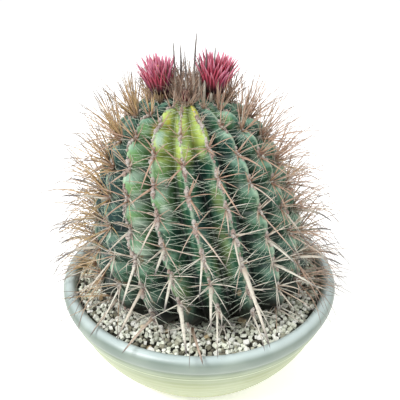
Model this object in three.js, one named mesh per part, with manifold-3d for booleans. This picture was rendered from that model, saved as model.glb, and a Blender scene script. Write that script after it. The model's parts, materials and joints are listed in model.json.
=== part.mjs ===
// A potted round cactus: a ribbed, spiny globe in a shallow glazed bowl, with two flowers on its crown.
// Millimetres, +Z up. The origin is the centre of the bowl's foot, on the table.
import * as THREE from 'three';
import { mergeVertices } from 'three/addons/utils/BufferGeometryUtils.js';
import Module from 'manifold-3d';

const wasm = await Module();
wasm.setup();

// The bowl
const potHeight = 91;
const lipOuterRadius = 135;
const lipThickness = 13.6;
const lipDepth = 16;
const wallTopRadius = 127;
const wallThickness = 6.5;
const wallBulge = 1.8;
const footRadius = 85;
const footRingWidth = 12;
const footRecess = 4;
const floorThickness = 7;
const floorRadius = 84;
const drainRadius = 11;
const potSegments = 40;
const wallSteps = 6;
const lipSteps = 8;

// What fills the bowl, as heights above the table
const drainageTop = 28;
const soilTop = 72;
const gravelTop = 84;
const wallGap = 0.6;
const layerGap = 0.3;
const layerStep = 12;
const netRadius = 17;
const netThickness = 1.2;
const netHole = 5;
const netPitch = 8;

// The stem: a leaning dome, widest a little above the bowl's lip
const stemRadius = 102.6;
const stemWidestHeight = 104.2;
const stemTopHeight = 270;
const stemSkirtRadius = 71;
const stemSkirtHeight = 83;
const stemRootHeight = 37;
const domeOuterPower = 1.9;
const domeInnerPower = 2;
const stemLean = -0.065;
const stemOffset = { x: 2.4, y: -0.6 };
const ribCount = 18;
const ribDepth = 16;
const ribRoundness = 1.5;
const ribFrontDegrees = 1.5;
const ribFrontHeight = 176;
const twistDegrees = { even: -0.1, leftSide: 0.07 };
const columnsPerRib = 4;
const domeRows = 15;
const rootRows = 3;
const seatGap = 0.5;

// Areoles: the felted cushions along each rib's edge that carry the spines
const areoleSpacing = 25;
const areoleStarts = [22, 10, 29, 17, 24, 12, 30, 19, 26, 14, 31, 20, 27, 13, 21, 28, 18, 32];
const feltRadius = 1.6;
const feltSides = 4;
const feltLowestHeight = 89;
const feltTopRadius = 44;
const feltGap = 0.4;

// Spines, each a three-sided needle set in the felt
const centralSpine = { length: 47, radius: 1.1, belowNormal: 33 };
const upperSpine = { length: 35, radius: 0.8, aboveNormal: 24 };
const sideSpine = { rise: 17, reach: 11, share: 0.32, radius: 0.6, leastCrest: 66, leastDegrees: 8 };
const spineLipClearance = 6;
const steepestRiseShare = 0.5;
const steepestDegrees = 80;
const spineSunk = 0.9;
const spineRootPitch = 2.3;

// The upright tuft in the middle of the crown
const tuftRadius = 7;
const tuftHeight = 3;
const tuftSpines = 12;
const tuftLengths = { least: 28, most: 58 };
const tuftSplay = 0.1;
const tuftInset = 1.5;
const goldenDegrees = 137.5;
const goldenShare = 0.382;

// Two flowers and a bud on the crown. Their places are measured from the stem's top centre
const flowers = [
  { name: 'flower_left', x: -21, y: 1, tilt: -14, size: 0.88, turn: 0 },
  { name: 'flower_right', x: 21, y: 3, tilt: 9, size: 1.0, turn: 9 },
];
const tubeHeight = 14;
const tubeFootRadius = 5;
const tubeMouthRadius = 8.5;
const tubeShoulder = 0.3;
const tubeSunk = 9;
const flowerDrop = 4;
const petalCount = 15;
const petalLength = 27;
const petalWidth = 4.6;
const petalThickness = 1.3;
const petalSplay = 17;
const petalStagger = 7;
const petalRingHeight = 2.5;
const petalRingWall = 3;
const stamenHeight = 13;
const stamenBelly = 0.6;
const stamenTaper = 0.7;
const styleRadius = 1.2;
const styleHeight = 18;
const stigma = { radius: 2.6, height: 2, crown: 0.5, crownShare: 0.6 };
const flowerGap = 0.35;
const flowerSides = 16;
const stigmaSides = 8;
const padSides = 12;
const netSides = 24;
const bud = { x: -0.7, y: -12, radius: 4, height: 18, sunk: 5 };

const radians = THREE.MathUtils.degToRad;

const finishes = {
  glaze: { color: 0xcfd9c4, roughness: 0.32, metalness: 0 },
  net: { color: 0x2f3a33, roughness: 0.6, metalness: 0 },
  pumice: { color: 0xb9b094, roughness: 0.95, metalness: 0 },
  soil: { color: 0x4a3b2c, roughness: 1, metalness: 0 },
  gravel: { color: 0xc9c0a2, roughness: 0.95, metalness: 0 },
  stem: { color: 0x4f8063, roughness: 0.6, metalness: 0 },
  spine: { color: 0xb59a82, roughness: 0.55, metalness: 0 },
  tube: { color: 0x6a4038, roughness: 0.6, metalness: 0 },
  petal: { color: 0xc8417c, roughness: 0.5, metalness: 0 },
  stamen: { color: 0x8a2140, roughness: 0.7, metalness: 0 },
  stigma: { color: 0xd9c27a, roughness: 0.6, metalness: 0 },
  bud: { color: 0x6d1a2c, roughness: 0.6, metalness: 0 },
};

// Faces along a seam or round a pole share their vertices afterwards
function shared(geometry) {
  const bare = geometry.clone();
  bare.deleteAttribute('normal');
  bare.deleteAttribute('uv');
  return mergeVertices(bare, 1e-3);
}

function toSolid(geometry) {
  const whole = shared(geometry);
  const corners = whole.index.array;
  const kept = [];
  for (let i = 0; i < corners.length; i += 3) {
    const [a, b, c] = corners.slice(i, i + 3);
    if (a !== b && b !== c && c !== a) kept.push(a, b, c);
  }
  const surface = new wasm.Mesh({
    numProp: 3,
    vertProperties: new Float32Array(whole.attributes.position.array),
    triVerts: new Uint32Array(kept),
  });
  return new wasm.Manifold(surface);
}

function toGeometry(solid) {
  const surface = solid.getMesh();
  const geometry = new THREE.BufferGeometry();
  geometry.setAttribute('position', new THREE.BufferAttribute(surface.vertProperties, 3));
  geometry.setIndex(new THREE.BufferAttribute(surface.triVerts, 1));
  geometry.computeVertexNormals();
  return geometry;
}

// Joins the solids, and fills the small voids closed in between them
function joined(solids) {
  const shells = solids.reduce((whole, solid) => whole.add(solid)).decompose();
  return shells.reduce((largest, shell) => (shell.volume() > largest.volume() ? shell : largest));
}

function named(name, geometry, finish) {
  const mesh = new THREE.Mesh(geometry, new THREE.MeshStandardMaterial(finishes[finish]));
  mesh.name = name;
  return mesh;
}

// A profile of [radius, height] pairs, turned about the upright axis
function turned(profile, segments) {
  const points = profile.map(([radius, height]) => new THREE.Vector2(radius, height));
  return new THREE.LatheGeometry(points, segments).rotateX(Math.PI / 2);
}

// Bowl

const wallTopHeight = potHeight - lipDepth;
const floorTop = footRecess + floorThickness;
const boreRadius = wallTopRadius - wallThickness;
const footBoreRadius = footRadius - footRingWidth;

function outerWallRadius(height) {
  const fall = (wallTopHeight - height) / wallTopHeight;
  return wallTopRadius - (wallTopRadius - footRadius) * fall ** wallBulge;
}

function boreRadiusAt(height) {
  const fall = Math.max(0, wallTopHeight - height) / (wallTopHeight - floorTop);
  return boreRadius - (boreRadius - floorRadius) * fall ** wallBulge;
}

function potProfile() {
  const profile = [[drainRadius, floorTop], [drainRadius, footRecess], [footBoreRadius, footRecess]];
  profile.push([footBoreRadius + 1, 0]);
  for (let i = 0; i <= wallSteps; i += 1) {
    const height = wallTopHeight * i / wallSteps;
    profile.push([outerWallRadius(height), height]);
  }
  const lipCentre = lipOuterRadius - lipThickness / 2;
  for (let i = 0; i <= lipSteps; i += 1) {
    const angle = -Math.PI / 2 + 1.5 * Math.PI * i / lipSteps;
    const radius = lipCentre + lipThickness / 2 * Math.cos(angle);
    profile.push([radius, potHeight - lipDepth / 2 + lipDepth / 2 * Math.sin(angle)]);
  }
  for (let i = 0; i <= wallSteps; i += 1) {
    const height = wallTopHeight + (floorTop - wallTopHeight) * i / wallSteps;
    profile.push([boreRadiusAt(height), height]);
  }
  profile.push([drainRadius, floorTop]);
  return profile;
}

function layerProfile(bottom, top) {
  const profile = [[0, bottom]];
  const steps = Math.ceil((top - bottom) / layerStep);
  for (let i = 0; i <= steps; i += 1) {
    const height = bottom + (top - bottom) * i / steps;
    profile.push([boreRadiusAt(height) - wallGap, height]);
  }
  profile.push([0, top]);
  return profile;
}

function drainNet() {
  const outline = [[0, 0], [netRadius, 0], [netRadius, netThickness], [0, netThickness]];
  let disc = toSolid(turned(outline, netSides));
  for (const column of [-1, 0, 1]) {
    for (const row of [-1, 0, 1]) {
      const hole = new THREE.BoxGeometry(netHole, netHole, netThickness * 4);
      hole.translate(column * netPitch, row * netPitch, 0);
      disc = disc.subtract(toSolid(hole));
    }
  }
  return toGeometry(disc);
}

// Stem

// Distance from the stem's axis to a rib's edge at a height
function crestRadius(height) {
  if (height >= stemWidestHeight) {
    const rise = Math.min(1, (height - stemWidestHeight) / (stemTopHeight - stemWidestHeight));
    return stemRadius * (1 - rise ** domeOuterPower) ** (1 / domeInnerPower);
  }
  if (height >= stemSkirtHeight) {
    const drop = (stemWidestHeight - height) / (stemWidestHeight - stemSkirtHeight);
    return stemRadius - (stemRadius - stemSkirtRadius) * drop ** 2;
  }
  const drop = (stemSkirtHeight - height) / (stemSkirtHeight - stemRootHeight);
  return stemSkirtRadius * Math.sqrt(Math.max(0, 1 - drop ** 2));
}

function axisAt(height) {
  const above = Math.max(0, height - potHeight);
  return new THREE.Vector3(stemOffset.x + stemLean * above, stemOffset.y, height);
}

// Ribs start straight and turn a little to the left on the way up, more so on the left side
function ribDegrees(rib, height) {
  const front = ribFrontDegrees + rib * 360 / ribCount;
  const twist = twistDegrees.even + twistDegrees.leftSide * Math.sin(radians(front));
  return front + twist * (height - ribFrontHeight);
}

// 0 degrees faces the front, -Y, and 90 degrees faces +X
function outward(degrees) {
  return new THREE.Vector3(Math.sin(radians(degrees)), -Math.cos(radians(degrees)), 0);
}

function valleyDepth(height) {
  const fadeIn = THREE.MathUtils.smoothstep(height, soilTop, stemWidestHeight);
  const nearCrown = Math.min(1, crestRadius(height) / (0.6 * stemRadius));
  return ribDepth * fadeIn * nearCrown;
}

function crestPoint(rib, height) {
  return axisAt(height).addScaledVector(outward(ribDegrees(rib, height)), crestRadius(height));
}

// Angle of the stem's surface normal above the horizontal
function normalDegrees(height) {
  const step = 0.5;
  const slope = (crestRadius(height + step) - crestRadius(height - step)) / (2 * step);
  return THREE.MathUtils.radToDeg(Math.atan(-slope));
}

// A rib's own outward direction, raised above the horizontal
function leaning(rib, height, degreesAboveHorizontal) {
  const direction = outward(ribDegrees(rib, height));
  direction.multiplyScalar(Math.cos(radians(degreesAboveHorizontal)));
  direction.z = Math.sin(radians(degreesAboveHorizontal));
  return direction;
}

function stemHeights() {
  const heights = [];
  for (let i = 0; i < rootRows; i += 1) {
    const rise = 1 - Math.cos(Math.PI / 2 * i / rootRows);
    heights.push(stemRootHeight + (stemSkirtHeight - stemRootHeight) * rise);
  }
  for (let i = 0; i < rootRows; i += 1) {
    heights.push(stemSkirtHeight + (stemWidestHeight - stemSkirtHeight) * i / rootRows);
  }
  for (let i = 0; i <= domeRows; i += 1) {
    const rise = Math.sin(Math.PI / 2 * i / domeRows);
    heights.push(stemWidestHeight + (stemTopHeight - stemWidestHeight) * rise);
  }
  return heights;
}

// The ribbed body. Grown by a clearance, it is the shape that its neighbours are cut to
function stemGeometry(clearance = 0) {
  const heights = stemHeights();
  const columns = ribCount * columnsPerRib;
  const geometry = turned(heights.map((height) => [crestRadius(height), height]), columns);
  const place = geometry.attributes.position;
  for (let i = 0; i < place.count; i += 1) {
    const row = i % heights.length;
    const column = Math.floor(i / heights.length) % columns;
    const height = heights[row];
    const rib = column / columnsPerRib;
    const fromCrest = Math.abs(rib - Math.round(rib));
    const valley = valleyDepth(height) * (2 * fromCrest) ** ribRoundness;
    const pole = row === 0 || row === heights.length - 1;
    const radius = pole ? 0 : crestRadius(height) - valley;
    const tilt = pole ? 90 * Math.sign(row - 1) : normalDegrees(height);
    const point = axisAt(height).addScaledVector(outward(ribDegrees(rib, height)), radius);
    point.addScaledVector(leaning(rib, height, tilt), clearance);
    place.setXYZ(i, point.x, point.y, point.z);
  }
  return geometry;
}

// Felt and spines of one rib

function crestHeightAlong(distance) {
  const step = 0.5;
  let height = gravelTop;
  let travelled = 0;
  while (travelled < distance && height < stemTopHeight - step) {
    const run = crestRadius(height + step) - crestRadius(height);
    travelled += Math.hypot(run, step);
    height += step;
  }
  return height;
}

// The felt follows a rib's edge from row to row of the stem, so it keeps one distance from it
const feltHeights = stemHeights().filter(
  (height) => height > feltLowestHeight && crestRadius(height) > feltTopRadius,
);

class CrestCurve extends THREE.Curve {
  constructor(rib) {
    super();
    this.rib = rib;
  }

  getPoint(t, target = new THREE.Vector3()) {
    const row = Math.min(feltHeights.length - 2, Math.floor(t * (feltHeights.length - 1)));
    const share = t * (feltHeights.length - 1) - row;
    const ends = [row, row + 1].map((index) => feltPoint(this.rib, feltHeights[index]));
    return target.lerpVectors(ends[0], ends[1], share);
  }

  getPointAt(u, target) {
    return this.getPoint(u, target);
  }

  getTangentAt(u, target) {
    return this.getTangent(u, target);
  }
}

function needle(length, radius) {
  return shared(new THREE.ConeGeometry(radius, length, 3).translate(0, length / 2, 0));
}

// Stands a needle at a point, with one of its edges on top
function stood(geometry, point, direction) {
  const ahead = direction.clone().normalize();
  const side = new THREE.Vector3().crossVectors(ahead, new THREE.Vector3(0, 0, 1)).normalize();
  const above = new THREE.Vector3().crossVectors(side, ahead);
  const turn = new THREE.Matrix4().makeBasis(side, ahead, above);
  turn.setPosition(point.clone().addScaledVector(ahead, -spineSunk));
  return toSolid(geometry.applyMatrix4(turn));
}

function feltPoint(rib, height) {
  const proud = leaning(rib, height, normalDegrees(height)).multiplyScalar(feltRadius + feltGap);
  return crestPoint(rib, height).add(proud);
}

// One long central spine below, one rising above it, and one to each side
function areoleSpines(rib, height) {
  const tilt = normalDegrees(height);
  const seat = feltPoint(rib, height);
  const along = leaning(rib, height, tilt + 90).multiplyScalar(spineRootPitch);
  const across = outward(ribDegrees(rib, height) + 90);
  const rise = potHeight + spineLipClearance - height;
  const riseShare = THREE.MathUtils.clamp(rise / centralSpine.length, -1, steepestRiseShare);
  const lowest = THREE.MathUtils.radToDeg(Math.asin(riseShare));
  const fall = Math.max(tilt - centralSpine.belowNormal, lowest);
  const central = needle(centralSpine.length, centralSpine.radius);
  const upper = needle(upperSpine.length, upperSpine.radius);
  const upperTilt = Math.min(steepestDegrees, Math.max(tilt, 0) + upperSpine.aboveNormal);
  const solids = [
    stood(central, seat.clone().sub(along), leaning(rib, height, fall)),
    stood(upper, seat.clone().add(along), leaning(rib, height, upperTilt)),
  ];
  if (crestRadius(height) < sideSpine.leastCrest) return solids;
  const spacing = 2 * Math.PI * crestRadius(height) / ribCount;
  const reach = Math.min(sideSpine.reach, spacing * sideSpine.share);
  for (const side of [-1, 1]) {
    const direction = leaning(rib, height, Math.max(tilt, sideSpine.leastDegrees));
    direction.multiplyScalar(sideSpine.rise);
    direction.addScaledVector(across, side * reach);
    const root = seat.clone().addScaledVector(across, side * feltRadius / 3);
    solids.push(stood(needle(direction.length(), sideSpine.radius), root, direction));
  }
  return solids;
}

function ribSpines(rib) {
  const curve = new CrestCurve(rib);
  const outline = new THREE.EllipseCurve(0, 0, feltRadius, feltRadius).getPoints(feltSides);
  const felt = new THREE.ExtrudeGeometry(new THREE.Shape(outline.slice(0, feltSides)), {
    steps: feltHeights.length - 1,
    extrudePath: curve,
  });
  const solids = [toSolid(felt)];
  for (let distance = areoleStarts[rib]; ; distance += areoleSpacing) {
    const height = crestHeightAlong(distance);
    if (height > feltHeights.at(-1)) break;
    solids.push(...areoleSpines(rib, height));
  }
  return toGeometry(joined(solids));
}

// Crown

const crownTop = axisAt(stemTopHeight);

function crownTuft(grownStem) {
  const foot = -2 * tuftHeight;
  const pad = turned([[0, foot], [tuftRadius, foot], [tuftRadius, 0], [0, tuftHeight]], padSides);
  const solids = [toSolid(pad.translate(crownTop.x, crownTop.y, crownTop.z))];
  for (let i = 0; i < tuftSpines; i += 1) {
    const out = outward(i * goldenDegrees);
    const spread = Math.sqrt((i + 0.5) / tuftSpines);
    const seat = crownTop.clone().addScaledVector(out, spread * (tuftRadius - tuftInset));
    seat.z += tuftHeight * (1 - spread);
    const share = i * goldenShare % 1;
    const length = tuftLengths.least + (tuftLengths.most - tuftLengths.least) * share;
    const direction = new THREE.Vector3(0, 0, 1).addScaledVector(out, tuftSplay * spread);
    solids.push(stood(needle(length, upperSpine.radius), seat, direction));
  }
  return toGeometry(joined(solids).subtract(grownStem));
}

function petalRing(mouth, length) {
  const wall = petalRingWall;
  const ring = turned([
    [mouth - wall, flowerGap], [mouth, flowerGap], [mouth, petalRingHeight],
    [mouth - wall, petalRingHeight], [mouth - wall, flowerGap],
  ], flowerSides);
  const solids = [toSolid(ring)];
  for (let i = 0; i < petalCount; i += 1) {
    const petal = shared(new THREE.SphereGeometry(1, 4, 3).rotateX(Math.PI / 2));
    petal.scale(petalWidth / 2, petalThickness / 2, length / 2);
    petal.translate(0, 0, length / 2);
    petal.rotateX(radians(petalSplay + petalStagger * (i % 2)));
    petal.translate(0, -(mouth - wall / 2), petalRingHeight / 2);
    petal.rotateZ(2 * Math.PI * i / petalCount);
    solids.push(toSolid(petal));
  }
  return toGeometry(joined(solids));
}

// The filaments stand as one sleeve round the style
function stamenSleeve(bore) {
  const inner = styleRadius + flowerGap;
  const waist = bore * stamenTaper;
  return turned([
    [inner, flowerGap], [waist, flowerGap], [bore, stamenHeight * stamenBelly],
    [waist, stamenHeight], [inner, stamenHeight], [inner, flowerGap],
  ], flowerSides);
}

function stigmaColumn() {
  const top = styleHeight + stigma.height;
  return turned([
    [0, flowerGap], [styleRadius, flowerGap], [styleRadius, styleHeight - stigma.height],
    [stigma.radius, styleHeight], [stigma.radius * stigma.crownShare, top], [0, top + stigma.crown],
  ], stigmaSides);
}

// Tube, petals, stamens and stigma of one flower, upright on its own axis
function flower({ name, x, y, tilt, size, turn }, grownStem) {
  const mouth = tubeMouthRadius * size;
  const height = tubeHeight * size;
  const group = new THREE.Group();
  group.position.set(crownTop.x + x, crownTop.y + y, crownTop.z - flowerDrop);
  group.rotation.set(0, radians(tilt), radians(turn));
  group.updateMatrixWorld(true);
  const localStem = grownStem.transform(group.matrixWorld.clone().invert().toArray());
  const foot = tubeFootRadius * size;
  const tube = turned([
    [0, -tubeSunk], [foot, -tubeSunk], [foot, height * tubeShoulder], [mouth, height], [0, height],
  ], flowerSides);
  group.add(named(`${name}_tube`, toGeometry(toSolid(tube).subtract(localStem)), 'tube'));
  const bore = mouth - petalRingWall - flowerGap;
  const pieces = [
    named(`${name}_petals`, petalRing(mouth, petalLength * size), 'petal'),
    named(`${name}_stamens`, stamenSleeve(bore), 'stamen'),
    named(`${name}_stigma`, stigmaColumn(), 'stigma'),
  ];
  for (const piece of pieces) {
    piece.position.z = height;
    group.add(piece);
  }
  return group;
}

function budGeometry(grownStem) {
  const egg = new THREE.SphereGeometry(bud.radius, 10, 8);
  egg.rotateX(Math.PI / 2);
  egg.scale(1, 1, bud.height / 2 / bud.radius);
  egg.translate(crownTop.x + bud.x, crownTop.y + bud.y, crownTop.z - bud.sunk + bud.height / 2);
  return toGeometry(toSolid(egg).subtract(grownStem));
}

// Assembly

const stemSolid = toSolid(stemGeometry());
const grownStem = toSolid(stemGeometry(seatGap));

function cutToStem(profile) {
  return toGeometry(toSolid(turned(profile, potSegments)).subtract(grownStem));
}

const bowl = new THREE.Group();
bowl.add(named('pot', turned(potProfile(), potSegments), 'glaze'));
const net = named('drain_net', drainNet(), 'net');
net.position.z = floorTop + layerGap;
bowl.add(net);
const netTop = floorTop + netThickness + 2 * layerGap;
bowl.add(named('drainage_pumice', turned(layerProfile(netTop, drainageTop), potSegments), 'pumice'));
bowl.add(named('soil', cutToStem(layerProfile(drainageTop + layerGap, soilTop)), 'soil'));
bowl.add(named('top_gravel', cutToStem(layerProfile(soilTop + layerGap, gravelTop)), 'gravel'));

const plant = new THREE.Group();
plant.add(named('stem', toGeometry(stemSolid), 'stem'));
for (let rib = 0; rib < ribCount; rib += 1) {
  const label = String(rib + 1).padStart(2, '0');
  plant.add(named(`spines_rib_${label}`, ribSpines(rib), 'spine'));
}
plant.add(named('spines_crown', crownTuft(grownStem), 'spine'));
for (const bloom of flowers) plant.add(flower(bloom, grownStem));
plant.add(named('flower_bud', budGeometry(grownStem), 'bud'));

const cactus = new THREE.Group();
cactus.add(bowl, plant);

export default cactus;
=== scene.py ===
import json
import math
import random

import bmesh
import bpy
import numpy as np
from mathutils import Matrix, Vector, noise

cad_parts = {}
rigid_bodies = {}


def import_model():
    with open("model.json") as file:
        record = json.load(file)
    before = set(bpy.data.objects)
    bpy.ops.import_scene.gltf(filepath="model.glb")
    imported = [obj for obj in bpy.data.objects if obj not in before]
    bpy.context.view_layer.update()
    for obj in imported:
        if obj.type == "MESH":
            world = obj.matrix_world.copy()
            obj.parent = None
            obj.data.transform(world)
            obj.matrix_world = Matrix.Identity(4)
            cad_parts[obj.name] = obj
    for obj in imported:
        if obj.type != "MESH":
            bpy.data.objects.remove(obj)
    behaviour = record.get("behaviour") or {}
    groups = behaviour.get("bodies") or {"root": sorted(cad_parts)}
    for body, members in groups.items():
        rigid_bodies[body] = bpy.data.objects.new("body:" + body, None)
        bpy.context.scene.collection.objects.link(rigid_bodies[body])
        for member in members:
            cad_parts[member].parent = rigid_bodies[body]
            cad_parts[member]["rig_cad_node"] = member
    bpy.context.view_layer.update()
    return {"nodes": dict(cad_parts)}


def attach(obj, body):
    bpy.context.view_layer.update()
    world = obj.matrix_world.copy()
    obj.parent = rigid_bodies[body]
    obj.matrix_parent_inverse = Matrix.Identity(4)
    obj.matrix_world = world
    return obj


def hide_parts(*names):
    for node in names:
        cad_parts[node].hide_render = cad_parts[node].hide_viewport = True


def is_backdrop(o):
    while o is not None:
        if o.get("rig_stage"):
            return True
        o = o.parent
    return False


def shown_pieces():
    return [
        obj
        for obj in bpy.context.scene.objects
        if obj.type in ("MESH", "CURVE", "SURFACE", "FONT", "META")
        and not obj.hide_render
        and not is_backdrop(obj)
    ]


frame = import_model()
print("frame loaded with", len(frame["nodes"]), "nodes")

mm = 0.001  # lengths below are in millimetres, and heights are above the floor
goldenAngle = 137.5  # degrees from one crown spine, stamen or scale to the next


# Camera, light and floor

view = {
    "lens": 53.2,
    "place": (0.7, -490.3, 436.9),
    "pitchDown": 28.7,
    "focal": 591,  # the same lens in pixels of the 400 pixel frame
    "middle": (199.3, 200),
}

studio = {
    "sky": 0.5,
    "key": {"place": (-900, -700, 1500), "size": 700, "power": 33},
    "fill": {"place": (1100, -300, 700), "size": 900, "power": 6},
    "back": {"place": (300, 1300, 700), "size": 900, "power": 5},
    "floorTint": (252, 252, 251),
    "floorGlow": 0.42,
    "floorSize": 9000,
}


def paint(red, green, blue):  # a colour as a paint program shows it, from 0 to 255
    return tuple((c / 255) ** 2.2 for c in (red, green, blue)) + (1.0,)


def makeCamera():
    camera = bpy.data.objects.new("camera", bpy.data.cameras.new("camera"))
    camera.data.lens = view["lens"]
    camera.location = Vector(view["place"]) * mm
    camera.rotation_euler = (math.radians(90 - view["pitchDown"]), 0, 0)
    bpy.context.scene.collection.objects.link(camera)
    bpy.context.scene.camera = camera


def makeLamp(name):
    values = studio[name]
    lamp = bpy.data.lights.new(name, "AREA")
    lamp.size = values["size"] * mm
    lamp.energy = values["power"]
    holder = bpy.data.objects.new(name, lamp)
    holder.location = Vector(values["place"]) * mm
    aim = Vector((0, 0, 0.15)) - holder.location
    holder.rotation_euler = aim.to_track_quat("-Z", "Y").to_euler()
    bpy.context.scene.collection.objects.link(holder)


def makeSky():
    world = bpy.data.worlds.new("sky")
    world.use_nodes = True
    background = world.node_tree.nodes["Background"]
    background.inputs["Color"].default_value = (1, 1, 1, 1)
    path = world.node_tree.nodes.new("ShaderNodeLightPath")
    seen = Wire(world.node_tree, path.outputs["Is Camera Ray"])
    strength = seen * (1 - studio["sky"]) + studio["sky"]  # a white backdrop that lights the plant less
    world.node_tree.links.new(strength.socket, background.inputs["Strength"])
    bpy.context.scene.world = world
    bpy.context.scene.view_settings.view_transform = "Standard"


# Shader maths

class Wire:  # one socket of a material, and sums on it add their nodes
    def __init__(self, tree, socket):
        self.tree = tree
        self.socket = socket

    def node(self, kind, settings=None, sockets=None, output=0):
        made = self.tree.nodes.new(kind)
        for name, value in (settings or {}).items():
            if name == "stops":
                setStops(made.color_ramp, value)
            else:
                setattr(made, name, value)
        for name, value in (sockets or {}).items():
            if isinstance(value, Wire):
                self.tree.links.new(value.socket, made.inputs[name])
            else:
                made.inputs[name].default_value = value
        return Wire(self.tree, made.outputs[output]) if made.outputs else None

    def sum(self, operation, first, second):
        return self.node("ShaderNodeMath", {"operation": operation}, {0: first, 1: second})

    def __add__(self, other):
        return self.sum("ADD", self, other)

    def __radd__(self, other):
        return self.sum("ADD", other, self)

    def __sub__(self, other):
        return self.sum("SUBTRACT", self, other)

    def __rsub__(self, other):
        return self.sum("SUBTRACT", other, self)

    def __mul__(self, other):
        return self.sum("MULTIPLY", self, other)

    def __rmul__(self, other):
        return self.sum("MULTIPLY", other, self)

    def __truediv__(self, other):
        return self.sum("DIVIDE", self, other)

    def __rtruediv__(self, other):
        return self.sum("DIVIDE", other, self)

    def __pow__(self, other):
        return self.sum("POWER", self, other)


def setStops(ramp, stops):
    ramp.elements.remove(ramp.elements[-1])
    for number, (position, tint) in enumerate(stops):
        stop = ramp.elements.new(position) if number else ramp.elements[0]
        stop.position = position
        stop.color = paint(*tint)


def startMaterial(name):
    material = bpy.data.materials.new(name)
    material.use_nodes = True
    material.node_tree.nodes.clear()
    coordinates = material.node_tree.nodes.new("ShaderNodeTexCoord")
    return material, Wire(material.node_tree, coordinates.outputs["Object"])


def endMaterial(place, sockets, bump=None):
    if bump is not None:
        height, distance = bump
        sockets["Normal"] = place.node("ShaderNodeBump", {}, {"Height": height, "Distance": distance})
    shader = place.node("ShaderNodeBsdfPrincipled", {}, sockets)
    place.node("ShaderNodeOutputMaterial", {}, {"Surface": shader})


def grain(place, size, detail=3.0, roughness=0.5):  # noise whose blotches are so many millimetres
    sockets = {"Vector": place, "Scale": 1000 / size, "Detail": detail, "Roughness": roughness}
    return place.node("ShaderNodeTexNoise", {}, sockets)


def rise(value, low, high):  # 0 below low, 1 above high, smooth between
    sockets = {"Value": value, "From Min": low, "From Max": high}
    return value.node("ShaderNodeMapRange", {"interpolation_type": "SMOOTHSTEP"}, sockets)


def blend(mask, under, over):  # each a colour from another node, or a tint as for paint
    sockets = {0: mask, 6: under, 7: over}
    for number in (6, 7):
        if isinstance(sockets[number], tuple):
            sockets[number] = paint(*sockets[number])
    return mask.node("ShaderNodeMix", {"data_type": "RGBA", "blend_type": "MIX"}, sockets, 2)


def attribute(place, name):
    return place.node("ShaderNodeAttribute", {"attribute_name": name}, {}, 2)


def heightOf(place):  # in millimetres
    return place.node("ShaderNodeSeparateXYZ", {}, {0: place}, 2) / mm


# Meshes

def addPiece(name, mesh, materials, nodes=()):
    mesh.name = name
    for material in materials:
        mesh.materials.append(material)
    mesh.shade_smooth()
    piece = bpy.data.objects.new(name, mesh)
    bpy.context.scene.collection.objects.link(piece)
    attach(piece, "root")
    if nodes:
        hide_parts(*nodes)
    print(name, len(mesh.polygons), "faces")
    return piece


def toMesh(bm, name="template"):
    mesh = bpy.data.meshes.new(name)
    bm.to_mesh(mesh)
    bm.free()
    return mesh


def spunMesh(profile, steps, closed):  # a profile of radius and height, turned about the upright axis
    bm = bmesh.new()
    points = [bm.verts.new((0, -radius, height)) for radius, height in profile]
    pairs = list(zip(points, points[1:]))
    if closed:
        pairs.append((points[-1], points[0]))
    edges = [bm.edges.new(pair) for pair in pairs]
    bmesh.ops.spin(
        bm, geom=points + edges, cent=(0, 0, 0), axis=(0, 0, 1), angle=math.tau, steps=steps,
        use_merge=True,
    )
    bmesh.ops.remove_doubles(bm, verts=bm.verts, dist=0.001)
    bmesh.ops.recalc_face_normals(bm, faces=bm.faces)
    return toMesh(bm)


def repeated(template, count):  # one mesh that holds so many copies of a template
    if count == 1:
        return template.copy()
    bm = bmesh.new()
    for share in (count // 2, count - count // 2):
        bm.from_mesh(repeated(template, share))
    return toMesh(bm)


def readPlaces(mesh):
    places = np.empty(len(mesh.vertices) * 3)
    mesh.vertices.foreach_get("co", places)
    return places.reshape(-1, 3)


def writePlaces(mesh, places):
    mesh.vertices.foreach_set("co", np.ascontiguousarray(places, dtype=np.float32).ravel())
    mesh.update()


def writeAttribute(mesh, name, values):
    layer = mesh.attributes.new(name, "FLOAT", "POINT")
    layer.data.foreach_set("value", np.ascontiguousarray(values, dtype=np.float32).ravel())


def layOutFaces(mesh):  # a map with a cell of its own for each face of a piece made of many small bodies
    count = len(mesh.polygons)
    columns = math.ceil(math.sqrt(count))
    first = np.empty(count, dtype=int)
    corners = np.empty(count, dtype=int)
    mesh.polygons.foreach_get("loop_start", first)
    mesh.polygons.foreach_get("loop_total", corners)
    face = np.repeat(np.arange(count), corners)
    turn = (np.arange(len(face)) - first[face] + 0.5) / corners[face] * math.tau
    across = (face % columns + 0.5 + 0.45 * np.cos(turn)) / columns
    up = (face // columns + 0.5 + 0.45 * np.sin(turn)) / columns
    layer = mesh.uv_layers.new(name="OFBake")
    layer.data.foreach_set("uv", np.stack([across, up], 1).ravel())


# Bowl

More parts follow.
